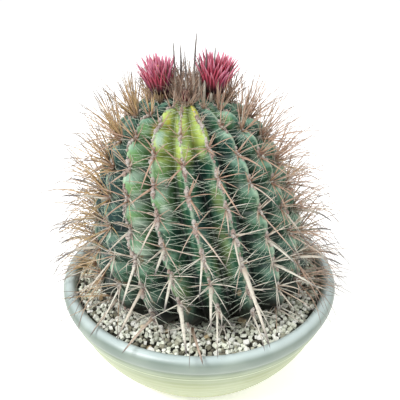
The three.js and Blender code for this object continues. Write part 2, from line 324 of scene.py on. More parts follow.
bowl = {
    "height": 91,
    "lipRadius": 135,
    "lipThickness": 13.6,
    "lipDepth": 16,
    "wallRadius": 127,
    "wallThickness": 6.5,
    "wallBulge": 1.8,
    "footRadius": 85,
    "footRing": 12,
    "footRecess": 4,
    "floorThickness": 7,
    "floorRadius": 84,
    "drainRadius": 11,
    "throwingRings": 0.22,
    "throwingPitch": 6.5,
    "wobble": 0.5,
    "spinSteps": 168,
    "wallRows": 46,
    "lipRows": 26,
    "lipFillet": 5.2,
    "filletDrop": 17,
    "lipStart": -55,
    # the lip's top: the glaze's pale blue-grey with a painted reflection of the sky on it
    "lipTint": (201, 217, 218),
    # painted shade on the lip's outer side; shadeTint below is painted shade on the wall under the lip
    "lipSideTint": (113, 127, 118),
    "shadeTint": (122, 136, 104),
    "wallTint": (153, 161, 120),
    "footTint": (160, 166, 110),
    # a painted highlight along the ridge at ringHeight
    "ringTint": (220, 228, 196),
    "cloudTint": (222, 232, 214),
    "speckTint": (150, 150, 120),
    "ringHeight": 66,
    "ringRise": 0.5,
}
wallTop = bowl["height"] - bowl["lipDepth"]
floorTop = bowl["footRecess"] + bowl["floorThickness"]


def smoothRise(value, low, high):
    share = np.clip((value - low) / (high - low), 0, 1)
    return share * share * (3 - 2 * share)


def outerWallRadius(height):
    fall = (wallTop - height) / wallTop
    return bowl["wallRadius"] - (bowl["wallRadius"] - bowl["footRadius"]) * fall ** bowl["wallBulge"]


def boreRadius(height):
    top = bowl["wallRadius"] - bowl["wallThickness"]
    fall = max(0, wallTop - height) / (wallTop - floorTop)
    return top - (top - bowl["floorRadius"]) * fall ** bowl["wallBulge"]


def bowlProfile():
    recess = bowl["footRecess"]
    footBore = bowl["footRadius"] - bowl["footRing"]
    profile = [(bowl["drainRadius"], floorTop - 0.8), (bowl["drainRadius"], recess + 0.8)]
    profile += [(bowl["drainRadius"] + 0.8, recess), (footBore - 1.5, recess), (footBore, recess - 1)]
    profile += [(footBore + 0.6, 0.6), (footBore + 1.4, 0), (bowl["footRadius"] - 1.2, 0)]
    ring = bowl["ringHeight"]
    heights = [0.8 + (wallTop - 0.8) * row / bowl["wallRows"] for row in range(bowl["wallRows"] + 1)]
    heights = [height for height in heights if abs(height - ring) > 1.2] + [ring - 0.8, ring, ring + 0.8]
    for height in sorted(heights):
        wave = bowl["throwingRings"] * math.sin(math.tau * height / bowl["throwingPitch"])
        radius = outerWallRadius(height) + wave * min(1, height / 12, (wallTop - height) / 6)
        radius += bowl["lipFillet"] * float(smoothRise(height, wallTop - bowl["filletDrop"], wallTop + 1.5))
        radius += bowl["ringRise"] if height == ring else 0
        profile.append((radius, height))
    centre = bowl["lipRadius"] - bowl["lipThickness"] / 2
    for row in range(bowl["lipRows"] + 1):
        angle = math.radians(bowl["lipStart"] + (180 - bowl["lipStart"]) * row / bowl["lipRows"])
        radius = centre + bowl["lipThickness"] / 2 * math.cos(angle)
        profile.append((radius, bowl["height"] + bowl["lipDepth"] / 2 * (math.sin(angle) - 1)))
    for row in range(1, 25):
        height = wallTop + (floorTop - wallTop) * row / 24
        profile.append((boreRadius(height), height))
    profile.append((bowl["drainRadius"] + 0.8, floorTop))
    return profile


def glazeMaterial():
    material, place = startMaterial("glaze")
    level = heightOf(place)
    cloud = grain(place, 45, 2)
    speck = grain(place, 1.6, 2)
    height = level + cloud * 3 - 1.5
    colour = blend(rise(height, 4, 34), bowl["footTint"], bowl["wallTint"])
    # height bands: painted shade under the lip and on its side, then the lip's top, partly a painted sky
    # reflection
    for low, high, tint in ((46, 72, "shadeTint"), (71, 79, "lipSideTint"), (86.5, 93, "lipTint")):
        colour = blend(rise(height, low, high), colour, bowl[tint])
    # painted highlight along the ridge
    ringHighlight = 1 - rise((level - bowl["ringHeight"]) ** 2, 0.1, 0.9)
    colour = blend(ringHighlight * 0.6, colour, bowl["ringTint"])
    colour = blend(rise(cloud, 0.35, 0.75) * 0.16, colour, bowl["cloudTint"])
    colour = blend(rise(speck, 0.66, 0.74) * 0.3, colour, bowl["speckTint"])
    sockets = {
        "Base Color": colour,
        "Roughness": 0.36 + cloud * 0.16,
        "Coat Weight": 0.22,
        "Coat Roughness": 0.3,
    }
    endMaterial(place, sockets, (grain(place, 5, 3) * 0.5 + speck * 0.1, 0.0004))
    return material


def makeBowl():
    mesh = spunMesh(bowlProfile(), bowl["spinSteps"], True)
    places = readPlaces(mesh)
    for vertex in mesh.vertices:
        bend = noise.noise(vertex.co * 0.012) * bowl["wobble"] * min(1, vertex.co.z / 10)
        places[vertex.index, :2] *= 1 + bend / bowl["lipRadius"]
    writePlaces(mesh, places * mm)
    addPiece("bowl", mesh, [glazeMaterial()], ["pot"])


# The ribbed globe

globe = {
    "radius": 99.2,
    "widest": 104.2,
    "top": 267,
    "skirtRadius": 71,
    "skirtHeight": 83,
    "rootHeight": 37,
    "outerPower": 1.4,
    "innerPower": 2.83,
    "lean": -0.065,
    "offset": (2.4, -0.6),
    "apexBend": (-2.5, 5),  # how far the crown leans to the left and back
    "ribs": 18,
    "ribDepth": 19,
    "valleyEdge": 0.82,
    "valleyFullness": 0.65,
    "frontDegrees": 2.1,
    "frontHeight": 176,
    "twist": -0.118,
    "leftTwist": 0.129,
    "soilTop": 72,
    "gravelTop": 84,
    "columnsPerRib": 16,
    "domeRows": 168,
    "chinRise": 6.4,
    "frontShare": 0.4,
    "calmDegrees": 10,
    "creaseDepth": 3.2,
    "creaseWidth": 2.6,
    "creaseMark": 3.4,  # the painted shade along it is wider
    "shoulderPhase": 0.72,  # where the light patch lies between two areoles
    "shoulderWidth": 0.22,
    "creaseSlant": 5,
    "wobble": 0.9,
}
areoles = {
    "spacing": 24.4,
    "reach": 162,
    "starts": [22, 11, 26, 17, 24, 12, 28, 19, 26, 14, 27, 20, 25, 13, 21, 27, 11.5, 28],
    "lastRadius": 15,
    "rootSpread": 2,
    "bareBelow": 120,  # the lowest areoles have lost some spines
    "tuftOffsets": (-5.5, -2.6, 0, 2.6, 5.2),
    "woolOffsets": (-11, -8.2, 8, 10.8),  # between the areoles of the woolly ribs
    "woolSize": 0.55,
    "woolFrom": 150,
    "woolWidth": 1.25,
    "woollyRibs": (16, 17, 0, 1),
    "barer": 0.72,
    "feltLength": 2.9,
    "feltWidth": 1.75,
    "feltHeight": 1.9,
}


def crestRadius(height):  # from the stem's axis to a rib's edge, for one height or an array
    height = np.asarray(height, dtype=float)
    share = np.clip((height - globe["widest"]) / (globe["top"] - globe["widest"]), 0, 1)
    dome = globe["radius"] * (1 - share ** globe["outerPower"]) ** (1 / globe["innerPower"])
    drop = (globe["widest"] - height) / (globe["widest"] - globe["skirtHeight"])
    skirt = globe["radius"] - (globe["radius"] - globe["skirtRadius"]) * drop ** 2
    deep = (globe["skirtHeight"] - height) / (globe["skirtHeight"] - globe["rootHeight"])
    root = globe["skirtRadius"] * np.sqrt(np.clip(1 - deep ** 2, 0, 1))
    below = np.where(height >= globe["skirtHeight"], skirt, root)
    return np.where(height >= globe["widest"], dome, below)


def axisPlace(height):
    bend = np.clip((height - globe["widest"]) / (globe["top"] - globe["widest"]), 0, 1) ** 3
    lean = globe["lean"] * np.maximum(0, height - bowl["height"])
    x = globe["offset"][0] + lean + globe["apexBend"][0] * bend
    y = globe["offset"][1] + globe["apexBend"][1] * bend
    return np.stack([x, y, height], -1)


def ribAzimuth(rib, height):  # degrees from the front towards +X; rib may lie between two ribs
    front = globe["frontDegrees"] + rib * 360 / globe["ribs"]
    twist = globe["twist"] + globe["leftTwist"] * np.sin(np.radians(front))
    return front + twist * (height - globe["frontHeight"])


def outward(degrees):
    angle = np.radians(degrees)
    return np.stack([np.sin(angle), -np.cos(angle), np.zeros_like(angle)], -1)


def surfaceTilt(height):  # the surface's normal above the horizontal, in radians
    return np.arctan((crestRadius(height - 0.5) - crestRadius(height + 0.5)))


def valleyDepth(height):
    nearCrown = np.minimum(1, crestRadius(height) / (0.6 * globe["radius"]))
    return globe["ribDepth"] * smoothRise(height, globe["soilTop"], globe["widest"]) * nearCrown


crestHeights = np.arange(globe["gravelTop"], globe["top"], 0.25)
crestRuns = np.hypot(np.diff(crestRadius(crestHeights)), 0.25)
crestLengths = np.concatenate([[0], np.cumsum(crestRuns)])


def areoleHeights(rib):
    distances = np.arange(areoles["starts"][rib], crestLengths[-1], areoles["spacing"])
    heights = np.interp(distances, crestLengths, crestHeights)
    return heights[crestRadius(heights) > areoles["lastRadius"]]


def chinShape(phase):  # how far a tubercle has risen, between the areoles below and above it
    return np.sin(math.pi * phase ** 1.2) ** 0.85


def tubercleSize(height, degrees):  # full at the sides and the back, and less at the crown and in front
    aside = smoothRise(np.abs(degrees - globe["calmDegrees"]), 10, 46)
    around = globe["frontShare"] + (1 - globe["frontShare"]) * aside
    grown = smoothRise(height, globe["soilTop"], globe["widest"] + 8)
    return np.minimum(1, crestRadius(height) / 58) * grown * around


def crestSwell(rib, height):  # how far a tubercle lifts the rib's edge
    phase = (np.interp(height, crestHeights, crestLengths) - areoles["starts"][rib]) / areoles["spacing"] % 1
    degrees = (ribAzimuth(rib, height) + 180) % 360 - 180
    return globe["chinRise"] * chinShape(phase) * tubercleSize(height, degrees)


def globeProfile():
    root = globe["rootHeight"]
    skirt = globe["skirtHeight"]
    heights = [root + (skirt - root) * (1 - math.cos(math.pi / 2 * i / 8)) for i in range(8)]
    heights += [skirt + (globe["widest"] - skirt) * i / 12 for i in range(12)]
    climb = globe["top"] - globe["widest"]
    rows = globe["domeRows"]
    heights += [globe["widest"] + climb * math.sin(math.pi / 2 * i / rows) for i in range(rows + 1)]
    return [(float(crestRadius(height)), height) for height in heights]


# Stains of the skin, with painted highlights in the pale rows, in the order in which they lie over
# each other. Each row holds the rib (0 is the front one), the height, the half width in ribs, the half
# height and the strength.
stainsAndHighlights = {
    "blue": [
        (-3.4, 190, 1.0, 75, 0.9),
        (0.2, 182, 0.18, 28, 0.7),
    ],
    "olive": [
        (0.85, 206, 0.2, 15, 0.8),
        (0.7, 171, 0.2, 15, 0.7),
        (0.5, 148, 0.26, 26, 1.0),
        (-0.9, 128, 0.4, 24, 0.5),
        (-1.3, 145, 0.3, 20, 0.5),
    ],
    "leaf": [
        (-1.75, 237, 0.3, 16, 0.9),
        (-0.65, 213, 0.5, 30, 0.9),
        (-1.65, 222, 0.42, 26, 0.9),
        (-1.7, 178, 0.36, 34, 0.8),
        (2.6, 257, 0.3, 11, 0.9),
    ],
    "lime": [
        (-0.95, 261, 0.35, 10, 0.9),
        (-0.5, 250, 0.4, 17, 1.0),
        (-0.35, 235, 0.3, 17, 0.8),
        (0.6, 250, 0.36, 18, 1.0),
        (0.22, 250, 0.22, 18, 0.9),
        (1.2, 257, 0.28, 11, 0.9),
        (-0.9, 241, 0.28, 14, 0.7),
    ],
    "yellow": [
        (-1.54, 246, 0.13, 13, 1.2),
        (-0.75, 255, 0.12, 8, 0.6),
        (1.0, 264, 0.16, 7, 1.0),
        (0.5, 246, 0.12, 10, 0.5),
    ],
    # painted glossy highlights on tubercles, over patches of paler skin
    "pale": [
        (-0.85, 246, 0.12, 8, 0.8),
        (-0.82, 214, 0.16, 9, 1.0),
        (-0.8, 195, 0.14, 7, 1.0),
        (-1.8, 218, 0.2, 7, 0.9),
        (-1.8, 199, 0.2, 7, 0.9),
        (-1.8, 180, 0.2, 7, 0.9),
        (-1.85, 158, 0.22, 9, 1.0),
    ],
}
skinTints = {
    # painted shade, in the valleys between the ribs and in the creases between tubercles
    "valley": (7, 26, 24),
    "flank": (26, 74, 62),
    "flankGreen": (40, 86, 54),
    "mint": (104, 148, 126),
    "teal": (10, 44, 44),
    # a painted highlight on the upper part of each tubercle
    "shoulder": (134, 174, 150),
    # the rib edges' paler skin, partly a painted highlight
    "crest": (164, 182, 156),
    "lime": (184, 203, 104),
    "yellow": (206, 192, 52),
    "leaf": (112, 156, 96),
    "olive": (116, 138, 86),
    "blue": (22, 62, 64),
    # painted glossy highlights over paler skin
    "pale": (178, 204, 180),
    "cork": (150, 126, 98),
    # near-black painted shade at the stem's foot, under the overhanging skirt
    "base": (20, 20, 15),
    "mottle": (118, 158, 130),
    "pore": (20, 56, 46),
}


def skinMaterial():
    material, place = startMaterial("skin")
    level = heightOf(place)
    ridge = attribute(place, "ridge")
    lit = attribute(place, "shoulder")
    cloud = grain(place, 38, 2)
    mottle = grain(place, 4.5, 4, 0.6)
    fine = grain(place, 0.9, 2)
    upright = place.node("ShaderNodeMapping", {}, {"Vector": place, "Scale": (1, 1, 0.16)})
    streak = grain(upright, 7, 3, 0.6)
    colour = blend(rise(cloud, 0.4, 0.62), skinTints["flank"], skinTints["flankGreen"])
    colour = blend(rise(streak, 0.5, 0.66) * 0.5, colour, skinTints["mint"])
    colour = blend((1 - rise(streak, 0.34, 0.48)) * 0.5, colour, skinTints["teal"])
    for tint in stainsAndHighlights:
        mask = attribute(place, tint)
        edge = rise(mask + mottle * 0.5 - 0.25, 0.2, 0.75)
        colour = blend(edge, colour, skinTints[tint])
    # painted highlight on the upper part of each tubercle
    colour = blend(rise(lit + mottle * 0.5 - 0.25, 0.25, 1.0) * 0.75, colour, skinTints["shoulder"])
    # painted shade: the skin darkens from each rib's edge into the valley, less on the lime and yellow
    # patches
    deep = 1 - rise(ridge + mottle * 0.2 - 0.1, 0.05, 0.72)
    shadeSpared = attribute(place, "lime") * 0.35 + attribute(place, "yellow") * 0.5
    colour = blend(deep * (0.93 - shadeSpared), colour, skinTints["valley"])
    # painted shade in the creases between tubercles
    crease = attribute(place, "crease")
    colour = blend(crease * 0.85, colour, skinTints["valley"])
    # paler rib edges: partly the skin's colour, partly a painted highlight
    pale = rise(ridge + mottle * 0.5 - 0.25, 0.82, 1.02) * 0.7
    colour = blend(pale, colour, skinTints["crest"])
    colour = blend(rise(mottle, 0.52, 0.7) * 0.3, colour, skinTints["mottle"])
    colour = blend(rise(fine, 0.6, 0.75) * 0.3, colour, skinTints["pore"])
    low = 1 - rise(level, 95, 190)
    cork = rise(grain(place, 9, 3) + ridge * 0.12 + low * 0.07, 0.74, 0.82)
    colour = blend(cork * 0.8, colour, skinTints["cork"])
    # painted shade: the skin darkens to near black towards the foot
    colour = blend((1 - rise(level + mottle * 16, 106, 148)) * 0.95, colour, skinTints["base"])
    sockets = {
        "Base Color": colour,
        "Roughness": 0.36 + mottle * 0.25,
        "Coat Weight": 0.12,
        "Coat Roughness": 0.35,
    }
    endMaterial(place, sockets, (mottle * 0.6 + fine * 0.25, 0.0008))
    return material


def writeStainsAndHighlights(mesh, around, height):
    for tint, rows in stainsAndHighlights.items():
        mask = np.zeros(len(height))
        for rib, middle, acrossRibs, upDown, strength in rows:
            sideways = (around - rib) / acrossRibs
            upwards = (height - middle) / upDown
            mask += strength * np.exp(-(sideways ** 2 + upwards ** 2))
        writeAttribute(mesh, tint, np.minimum(mask, 1))


def makeGlobe():
    mesh = spunMesh(globeProfile(), globe["ribs"] * globe["columnsPerRib"], False)
    start = readPlaces(mesh)
    height = start[:, 2]
    around = np.degrees(np.arctan2(start[:, 0], -start[:, 1])) / 360 * globe["ribs"]
    nearest = np.round(around)
    across = np.abs(around - nearest) * 2  # 0 on a rib's edge, 1 in the valley
    starts = np.array(areoles["starts"])[nearest.astype(int) % globe["ribs"]]
    along = np.interp(height, crestHeights, crestLengths)
    phase = ((along - starts + across * globe["creaseSlant"]) / areoles["spacing"]) % 1
    radius = crestRadius(height)
    size = tubercleSize(height, ribAzimuth(around, height))
    chin = chinShape(phase)
    bulge = globe["chinRise"] * chin * (1 - across ** 1.6) * size
    fold = np.minimum(phase, 1 - phase) * areoles["spacing"]
    crease = globe["creaseDepth"] * np.exp(-((fold / globe["creaseWidth"]) ** 2))
    bulge -= crease * 4 * across * (1 - across) * size
    valley = valleyDepth(height) * across ** (globe["valleyEdge"] + globe["valleyFullness"] * chin * size)
    onPole = start[:, 0] ** 2 + start[:, 1] ** 2 < 0.01
    flat = np.where(onPole, 0, radius - valley)
    tilt = np.where(onPole, math.pi / 2 * np.sign(height - 100), surfaceTilt(height))
    out = outward(ribAzimuth(around, height))
    normal = out * np.cos(tilt)[:, None] + np.array([0, 0, 1]) * np.sin(tilt)[:, None]
    places = axisPlace(height) + out * flat[:, None] + normal * np.where(onPole, 0, bulge)[:, None]
    for index, place in enumerate(places):
        wave = noise.noise(Vector(place) * 0.035) * globe["wobble"] * size[index]
        places[index] += normal[index] * wave
    writePlaces(mesh, places * mm)
    writeAttribute(mesh, "ridge", 1 - across)
    # painted shade along the creases between tubercles
    creaseShade = np.exp(-((fold / globe["creaseMark"]) ** 2))
    writeAttribute(mesh, "crease", creaseShade * np.minimum(1, across * 3) * size)
    # painted highlight on each tubercle's upper part, weaker on the ribs far to the left
    lit = np.exp(-(((phase - globe["shoulderPhase"]) / globe["shoulderWidth"]) ** 2)) * (1 - across * 0.6)
    lit *= 1 - 0.7 * smoothRise(-(ribAzimuth(around, height) + 180) % 360 - 180, 48, 72)
    writeAttribute(mesh, "shoulder", lit * np.minimum(1, size + 0.35))
    writeStainsAndHighlights(mesh, around, height)
    addPiece("globe", mesh, [skinMaterial()], ["stem"])


# Spines

spineShape = {
    "rings": [0.03, 0.2, 0.38, 0.56, 0.74, 0.9],
    "sunk": 1.2,
    "hook": 2.6,  # the higher, the nearer to the tip a spine bends
    "taper": 0.58,
    "shortest": 14,
}
# Turn is 0 up the rib and 180 down it, and lean is away from the surface's normal, both in degrees
spineFields = ("name", "turn", "turnSpread", "lean", "leanSpread", "length", "lengthSpread", "width", "flat",
               "droop", "stout")
spineKinds = [dict(zip(spineFields, row)) for row in (
    ("lowerCentral", 180, 40, 36, 16, 40, 8, 0.98, 0.5, 0.12, 1.0),
    ("upperCentral", 0, 26, 26, 14, 34, 8, 0.72, 0.8, 0.12, 0.9),
    ("sideCentral", 70, 22, 52, 14, 28, 7, 0.62, 0.8, 0.1, 0.8),
    ("sideCentral", -70, 22, 52, 14, 28, 7, 0.62, 0.8, 0.1, 0.8),
    ("lowerSide", 132, 18, 60, 10, 24, 6, 0.52, 0.8, 0.1, 0.7),
    ("lowerSide", -132, 18, 60, 10, 24, 6, 0.52, 0.8, 0.1, 0.7),
    ("upperSide", 34, 16, 56, 12, 26, 6, 0.42, 0.9, 0.06, 0.5),
)]
# Long thin spines that stand out from the ribs at the sides and the back
outerSpines = {
    "count": 17, "lean": 38, "leanSpread": 28, "length": 54, "lengthSpread": 14, "width": 0.46,
    "flat": 0.85, "stout": 0.8, "hook": 4.6, "droop": 0.3, "upperDroop": 0.08, "upward": 0.4,
    "aside": (38, 84),  # degrees from the front over which they appear
    "behind": (100, 140),  # and over which they thin out to backShare
    "aloft": (140, 240),  # heights over which they turn upwards
    # the last value lessens the painted backlit glow and the dark tips of those on the right
    "backShare": 0.5, "rightShare": 0.75, "rightTone": 0.45,
}
bristles = {
    "count": 7, "from": 64, "to": 118, "lean": 80, "leanSpread": 8, "length": 22, "lengthSpread": 8,
    "width": 0.165, "flat": 0.9, "stout": 0.1, "rootSpread": 11, "fewBelow": 124, "few": 2,
}
# Curled pale old spines low on some of the front ribs
curls = {
    "ribs": (14, 15, 16, 17, 0), "below": 178, "count": 3, "turns": (100, 260), "lean": 62, "leanSpread": 16,
    "length": 19, "lengthSpread": 5, "width": 0.5, "flat": 0.5, "stout": 0.8, "bend": 0.9, "bone": 1.2,
}
young = {"from": 238, "to": 264, "upward": 1.1, "shorter": 0.3, "frontShorter": 0.6, "frontDegrees": 28}
bone = {"base": 0.85, "crown": 0.05, "spread": 0.2, "from": 108, "to": 255}  # how weathered spines are
# Spines placed one by one, each from the areole nearest to one pixel of the photo to another pixel
placedFields = ("root", "tip", "length", "width", "bone")
heroSpines = [{"droop": 0.07, "tone": 0, **dict(zip(placedFields, row))} for row in (
    ((119, 296), (88, 338), 50, 1.5, 0.5),
    ((140, 296), (116, 339), 48, 1.5, 0.6),
    ((145, 319), (120, 355), 46, 1.6, 0.4),
    ((181, 311), (186, 357), 46, 2.1, 1.2),
    ((191, 325), (203, 367), 46, 1.6, 0.3),
    ((210, 286), (210, 332), 46, 1.7, 1.0),
    ((242, 276), (269, 347), 60, 2.1, 0.7),
    ((270, 242), (300, 268), 42, 1.4, 1.2),
    ((274, 264), (321, 290), 52, 1.5, 0.9),
    ((166, 235), (153, 278), 46, 1.5, 1.1),
    ((171, 278), (163, 314), 42, 1.6, 1.1),
    ((133, 268), (120, 310), 46, 1.4, 0.8),
)]
# Long ones with a curved end, which stand out at the sides: root, tip and droop
# their tone gives them a painted backlit glow and dark tips
sweep = {"length": 40, "width": 2.1, "bone": 0.7, "tone": 0.8}
heroSpines += [{"root": root, "tip": tip, "droop": droop, **sweep} for root, tip, droop in (
    ((100, 176), (64, 175), 0.2),
    ((99, 200), (56, 196), 0.15),
    ((98, 216), (52, 232), 0.45),
    ((99, 232), (53, 245), 0.4),
    ((100, 248), (50, 264), 0.45),
    ((300, 205), (336, 223), 0.45),
    ((303, 226), (337, 229), 0.2),
    ((300, 240), (346, 255), 0.4),
    ((303, 256), (348, 265), 0.35),
)]
spineTints = {
    "root": (152, 118, 98),
    "oldRoot": (176, 168, 150),
    "young": (178, 147, 127),
    "old": (208, 204, 190),
    # a painted amber glow of spines lit from behind
    "amber": (200, 170, 108),
    "tip": (86, 80, 82),
    "bristle": (208, 224, 202),
    "stain": (112, 98, 86),
}


def cameraAxes():
    pitch = math.radians(view["pitchDown"])
    ahead = Vector((0, math.cos(pitch), -math.sin(pitch)))
    up = Vector((0, math.sin(pitch), math.cos(pitch)))
    return Vector(view["place"]), ahead, up


def pixelOf(point):
    eye, ahead, up = cameraAxes()
    sight = Vector(point) - eye
    depth = sight.dot(ahead)
    x = view["middle"][0] + view["focal"] * sight.x / depth
    return Vector((x, view["middle"][1] - view["focal"] * sight.dot(up) / depth))


def pointAtPixel(pixel, root, length):  # where a spine of this length meets a pixel's sight line
    eye, ahead, up = cameraAxes()
    sight = ahead * view["focal"] + up * (view["middle"][1] - pixel[1])
    sight.x += pixel[0] - view["middle"][0]
    sight.normalize()
    nearest = (root - eye).dot(sight)
    gap = (eye + sight * nearest - root).length
    if gap >= length:
        return eye + sight * nearest
    return eye + sight * (nearest - math.sqrt(length ** 2 - gap ** 2))


def spineTemplate(sides):
    bm = bmesh.new()
    rings = spineShape["rings"]
    edges = bmesh.ops.create_circle(bm, segments=sides, radius=1)["verts"]
    bmesh.ops.translate(bm, verts=edges, vec=(0, 0, rings[0]))
    loop = list(bm.edges)
    for low, high in zip(rings, rings[1:] + [1.0]):
        made = bmesh.ops.extrude_edge_only(bm, edges=loop)["geom"]
        verts = [item for item in made if isinstance(item, bmesh.types.BMVert)]
        bmesh.ops.translate(bm, verts=verts, vec=(0, 0, high - low))
        loop = [item for item in made if isinstance(item, bmesh.types.BMEdge)]
    bmesh.ops.pointmerge(bm, verts=verts, merge_co=(0, 0, 1))
    foot = [edge for edge in bm.edges if edge.is_boundary]
    made = bmesh.ops.extrude_edge_only(bm, edges=foot)["geom"]
    verts = [item for item in made if isinstance(item, bmesh.types.BMVert)]
    bmesh.ops.pointmerge(bm, verts=verts, merge_co=(0, 0, 0))
    bmesh.ops.recalc_face_normals(bm, faces=bm.faces)
    return toMesh(bm)


class Bundle:  # the spines of one piece, as rows of numbers until they are made
    def __init__(self):
        self.rows = []

    def add(self, root, ahead, bend, length, width, values, tone, wear=0.0):
        hook = values.get("hook", spineShape["hook"])
        row = [*root, *ahead, *bend, length, width, values["flat"], values["stout"], tone, wear, hook]
        self.rows.append(row)

    def make(self, template):
        rows = np.array(self.rows)
        unit = readPlaces(template)
        share = unit[:, 2]
        root, ahead, bend = rows[:, 0:3], rows[:, 3:6], rows[:, 6:9]
        length, width, flat = rows[:, 9], rows[:, 10], rows[:, 11]
        ahead = ahead / np.linalg.norm(ahead, axis=1, keepdims=True)
        run = share[None, :, None] * length[:, None, None]
        hook = rows[:, 15:16]
        curve = (share ** hook)[:, :, None] * (bend * length[:, None])[:, None, :]
        centre = (root - ahead * spineShape["sunk"])[:, None, :] + ahead[:, None, :] * run + curve
        slope = hook * share ** (hook - 1)
        tangent = ahead[:, None, :] + slope[:, :, None] * bend[:, None, :]
        tangent /= np.linalg.norm(tangent, axis=2, keepdims=True)
        upright = np.array([0.02, 0.05, 1.0])
        side = np.cross(tangent, upright)
        side /= np.linalg.norm(side, axis=2, keepdims=True)
        above = np.cross(side, tangent)
        foot = 1 + 0.5 * np.exp(-((share / 0.06) ** 2))
        swell = np.clip(1.12 - share, 0, 1) ** spineShape["taper"] * foot
        swell = np.where((share < 0.001) | (share > 0.999), 0, swell)
        wide = (unit[:, 0] * swell)[None, :, None] * width[:, None, None]
        thick = (unit[:, 1] * swell)[None, :, None] * (width * flat)[:, None, None]
        places = centre + side * wide + above * thick
        mesh = repeated(template, len(rows))
        writePlaces(mesh, places.reshape(-1, 3) * mm)
        writeAttribute(mesh, "along", np.tile(share, len(rows)))
        for column, name in enumerate(("stout", "tone", "bone"), 12):
            writeAttribute(mesh, name, np.repeat(rows[:, column], len(share)))
        return mesh


def addSpines(name, node, materials, parts):  # parts are meshes, each with the number of its material
    bm = bmesh.new()
    for part, number in parts:
        before = len(bm.faces)
        bm.from_mesh(part)
        bm.faces.ensure_lookup_table()
        for face in bm.faces[before:]:
            face.material_index = number
    mesh = toMesh(bm)
    layOutFaces(mesh)
    addPiece(name, mesh, materials, [node])


def spineMaterial():
    material, place = startMaterial("spine")
    along, stout, tone, old = [attribute(place, name) for name in ("along", "stout", "tone", "bone")]
    streak = grain(place, 3, 3)
    middle = blend(rise(old, 0.0, 0.9), spineTints["young"], spineTints["old"])
    # painted backlit glow: amber on the less weathered spines, more with a higher tone
    middle = blend((1 - rise(old, 0.2, 0.7)) * rise(tone, 0.3, 0.9) * 0.7, middle, spineTints["amber"])
    root = rise(along + old * 0.12 + streak * 0.1, 0.08, 0.34)
    foot = blend(rise(old, 0.4, 1.0), spineTints["root"], spineTints["oldRoot"])
    colour = blend(root, foot, middle)
    ends = rise(along + tone * 0.25 + old * 0.08, 0.7, 1.02)
    colour = blend(ends * 0.9, colour, spineTints["tip"])
    colour = blend((1 - rise(stout, 0.1, 0.45)) * 0.9, colour, spineTints["bristle"])
    colour = blend(rise(streak, 0.5, 0.72) * 0.4, colour, spineTints["stain"])
    rings = place.node("ShaderNodeMath", {"operation": "SINE"}, {0: along * 190})
    sockets = {
        "Base Color": colour,
        "Roughness": 0.4 + streak * 0.3,
        "Subsurface Weight": 0.12,
        "Subsurface Radius": (1.0, 0.95, 0.8),
        "Subsurface Scale": 0.002,
    }
    endMaterial(place, sockets, (rings * 0.3 + streak, 0.0002))
    return material


feltTints = {
    "grey": (180, 172, 164),
    "brown": (146, 120, 108),
    "wool": (206, 202, 194),
    "fleck": (88, 70, 62),
}


def feltMaterial():
    material, place = startMaterial("felt")
    wool = grain(place, 0.8, 4, 0.7)
    patch = grain(place, 5, 2)
    fleck = grain(place, 1.6, 2)
    colour = blend(rise(patch, 0.38, 0.62), feltTints["grey"], feltTints["brown"])
    colour = blend(rise(wool, 0.42, 0.68) * 0.62, colour, feltTints["wool"])
    colour = blend(rise(fleck, 0.56, 0.64) * 0.75, colour, feltTints["fleck"])
    sockets = {"Base Color": colour, "Roughness": 0.95, "Sheen Weight": 0.4}
    endMaterial(place, sockets, (wool, 0.0008))
    return material


def crestFrame(rib, height):  # the rib's edge, its normal, the way up it and the way across it
    height = np.float64(height)
    degrees = ribAzimuth(rib, height)
    out = Vector(outward(degrees))
    tilt = float(surfaceTilt(height))
    up = Vector((0, 0, 1))
    normal = out * math.cos(tilt) + up * math.sin(tilt)
    climb = up * math.cos(tilt) - out * math.sin(tilt)
    edge = Vector(axisPlace(height)) + out * float(crestRadius(height))
    edge += normal * float(crestSwell(rib, height))
    return edge, normal, climb, Vector(outward(degrees + 90))


def meetsBowl(root, ahead, bend, length):  # whether a spine runs into the gravel or the lip
    for share in (0.35, 0.5, 0.65, 0.8, 0.9, 1.0):
        point = root + ahead * length * share + bend * length * share ** spineShape["hook"]
        reach = math.hypot(point.x, point.y)
        floor = bowl["height"] + 2 if reach > 115 else globe["gravelTop"] + 3
        if point.z < floor and reach < bowl["lipRadius"] + 16:
            return True
    return False


def clearOfBowl(root, ahead, bend, length):  # raises a spine until it passes over the gravel and the lip
    for _ in range(24):
        if not meetsBowl(root, ahead, bend, length):
            break
        ahead = (ahead + Vector((0, 0, 0.07))).normalized()
        bend = bend * 0.94
    return ahead, bend


def heroSpine(hero, root):  # grows towards the viewer until it ends at its pixel clear of the bowl
    bend = Vector((0, 0, -hero["droop"]))
    for extra in range(0, 30, 2):
        tip = pointAtPixel(hero["tip"], root, hero["length"] + extra)
        length = (tip - root).length
        ahead = ((tip - root) / length - bend).normalized()
        if not meetsBowl(root, ahead, bend, length):
            break
    return ahead, bend, length


def feltMesh(seats, seed):  # one woolly pad for each seat, which holds a place, its axes and its half sizes
    bm = bmesh.new()
    bmesh.ops.create_icosphere(bm, subdivisions=2, radius=1)
    template = toMesh(bm)
    unit = readPlaces(template)
    chance = np.random.default_rng(seed)
    places = []
    for edge, normal, climb, across, (up, wide, high) in seats:
        lumps = unit * (1 + chance.uniform(-0.16, 0.16, (len(unit), 1)))
        place = np.array(edge) + lumps[:, 0:1] * np.array(across) * wide
        places.append(place + lumps[:, 1:2] * np.array(climb) * up + lumps[:, 2:3] * np.array(normal) * high)
    mesh = repeated(template, len(seats))
    writePlaces(mesh, np.concatenate(places) * mm)
    for name in ("along", "stout", "tone", "bone"):
        writeAttribute(mesh, name, np.zeros(len(mesh.vertices)))
    return mesh


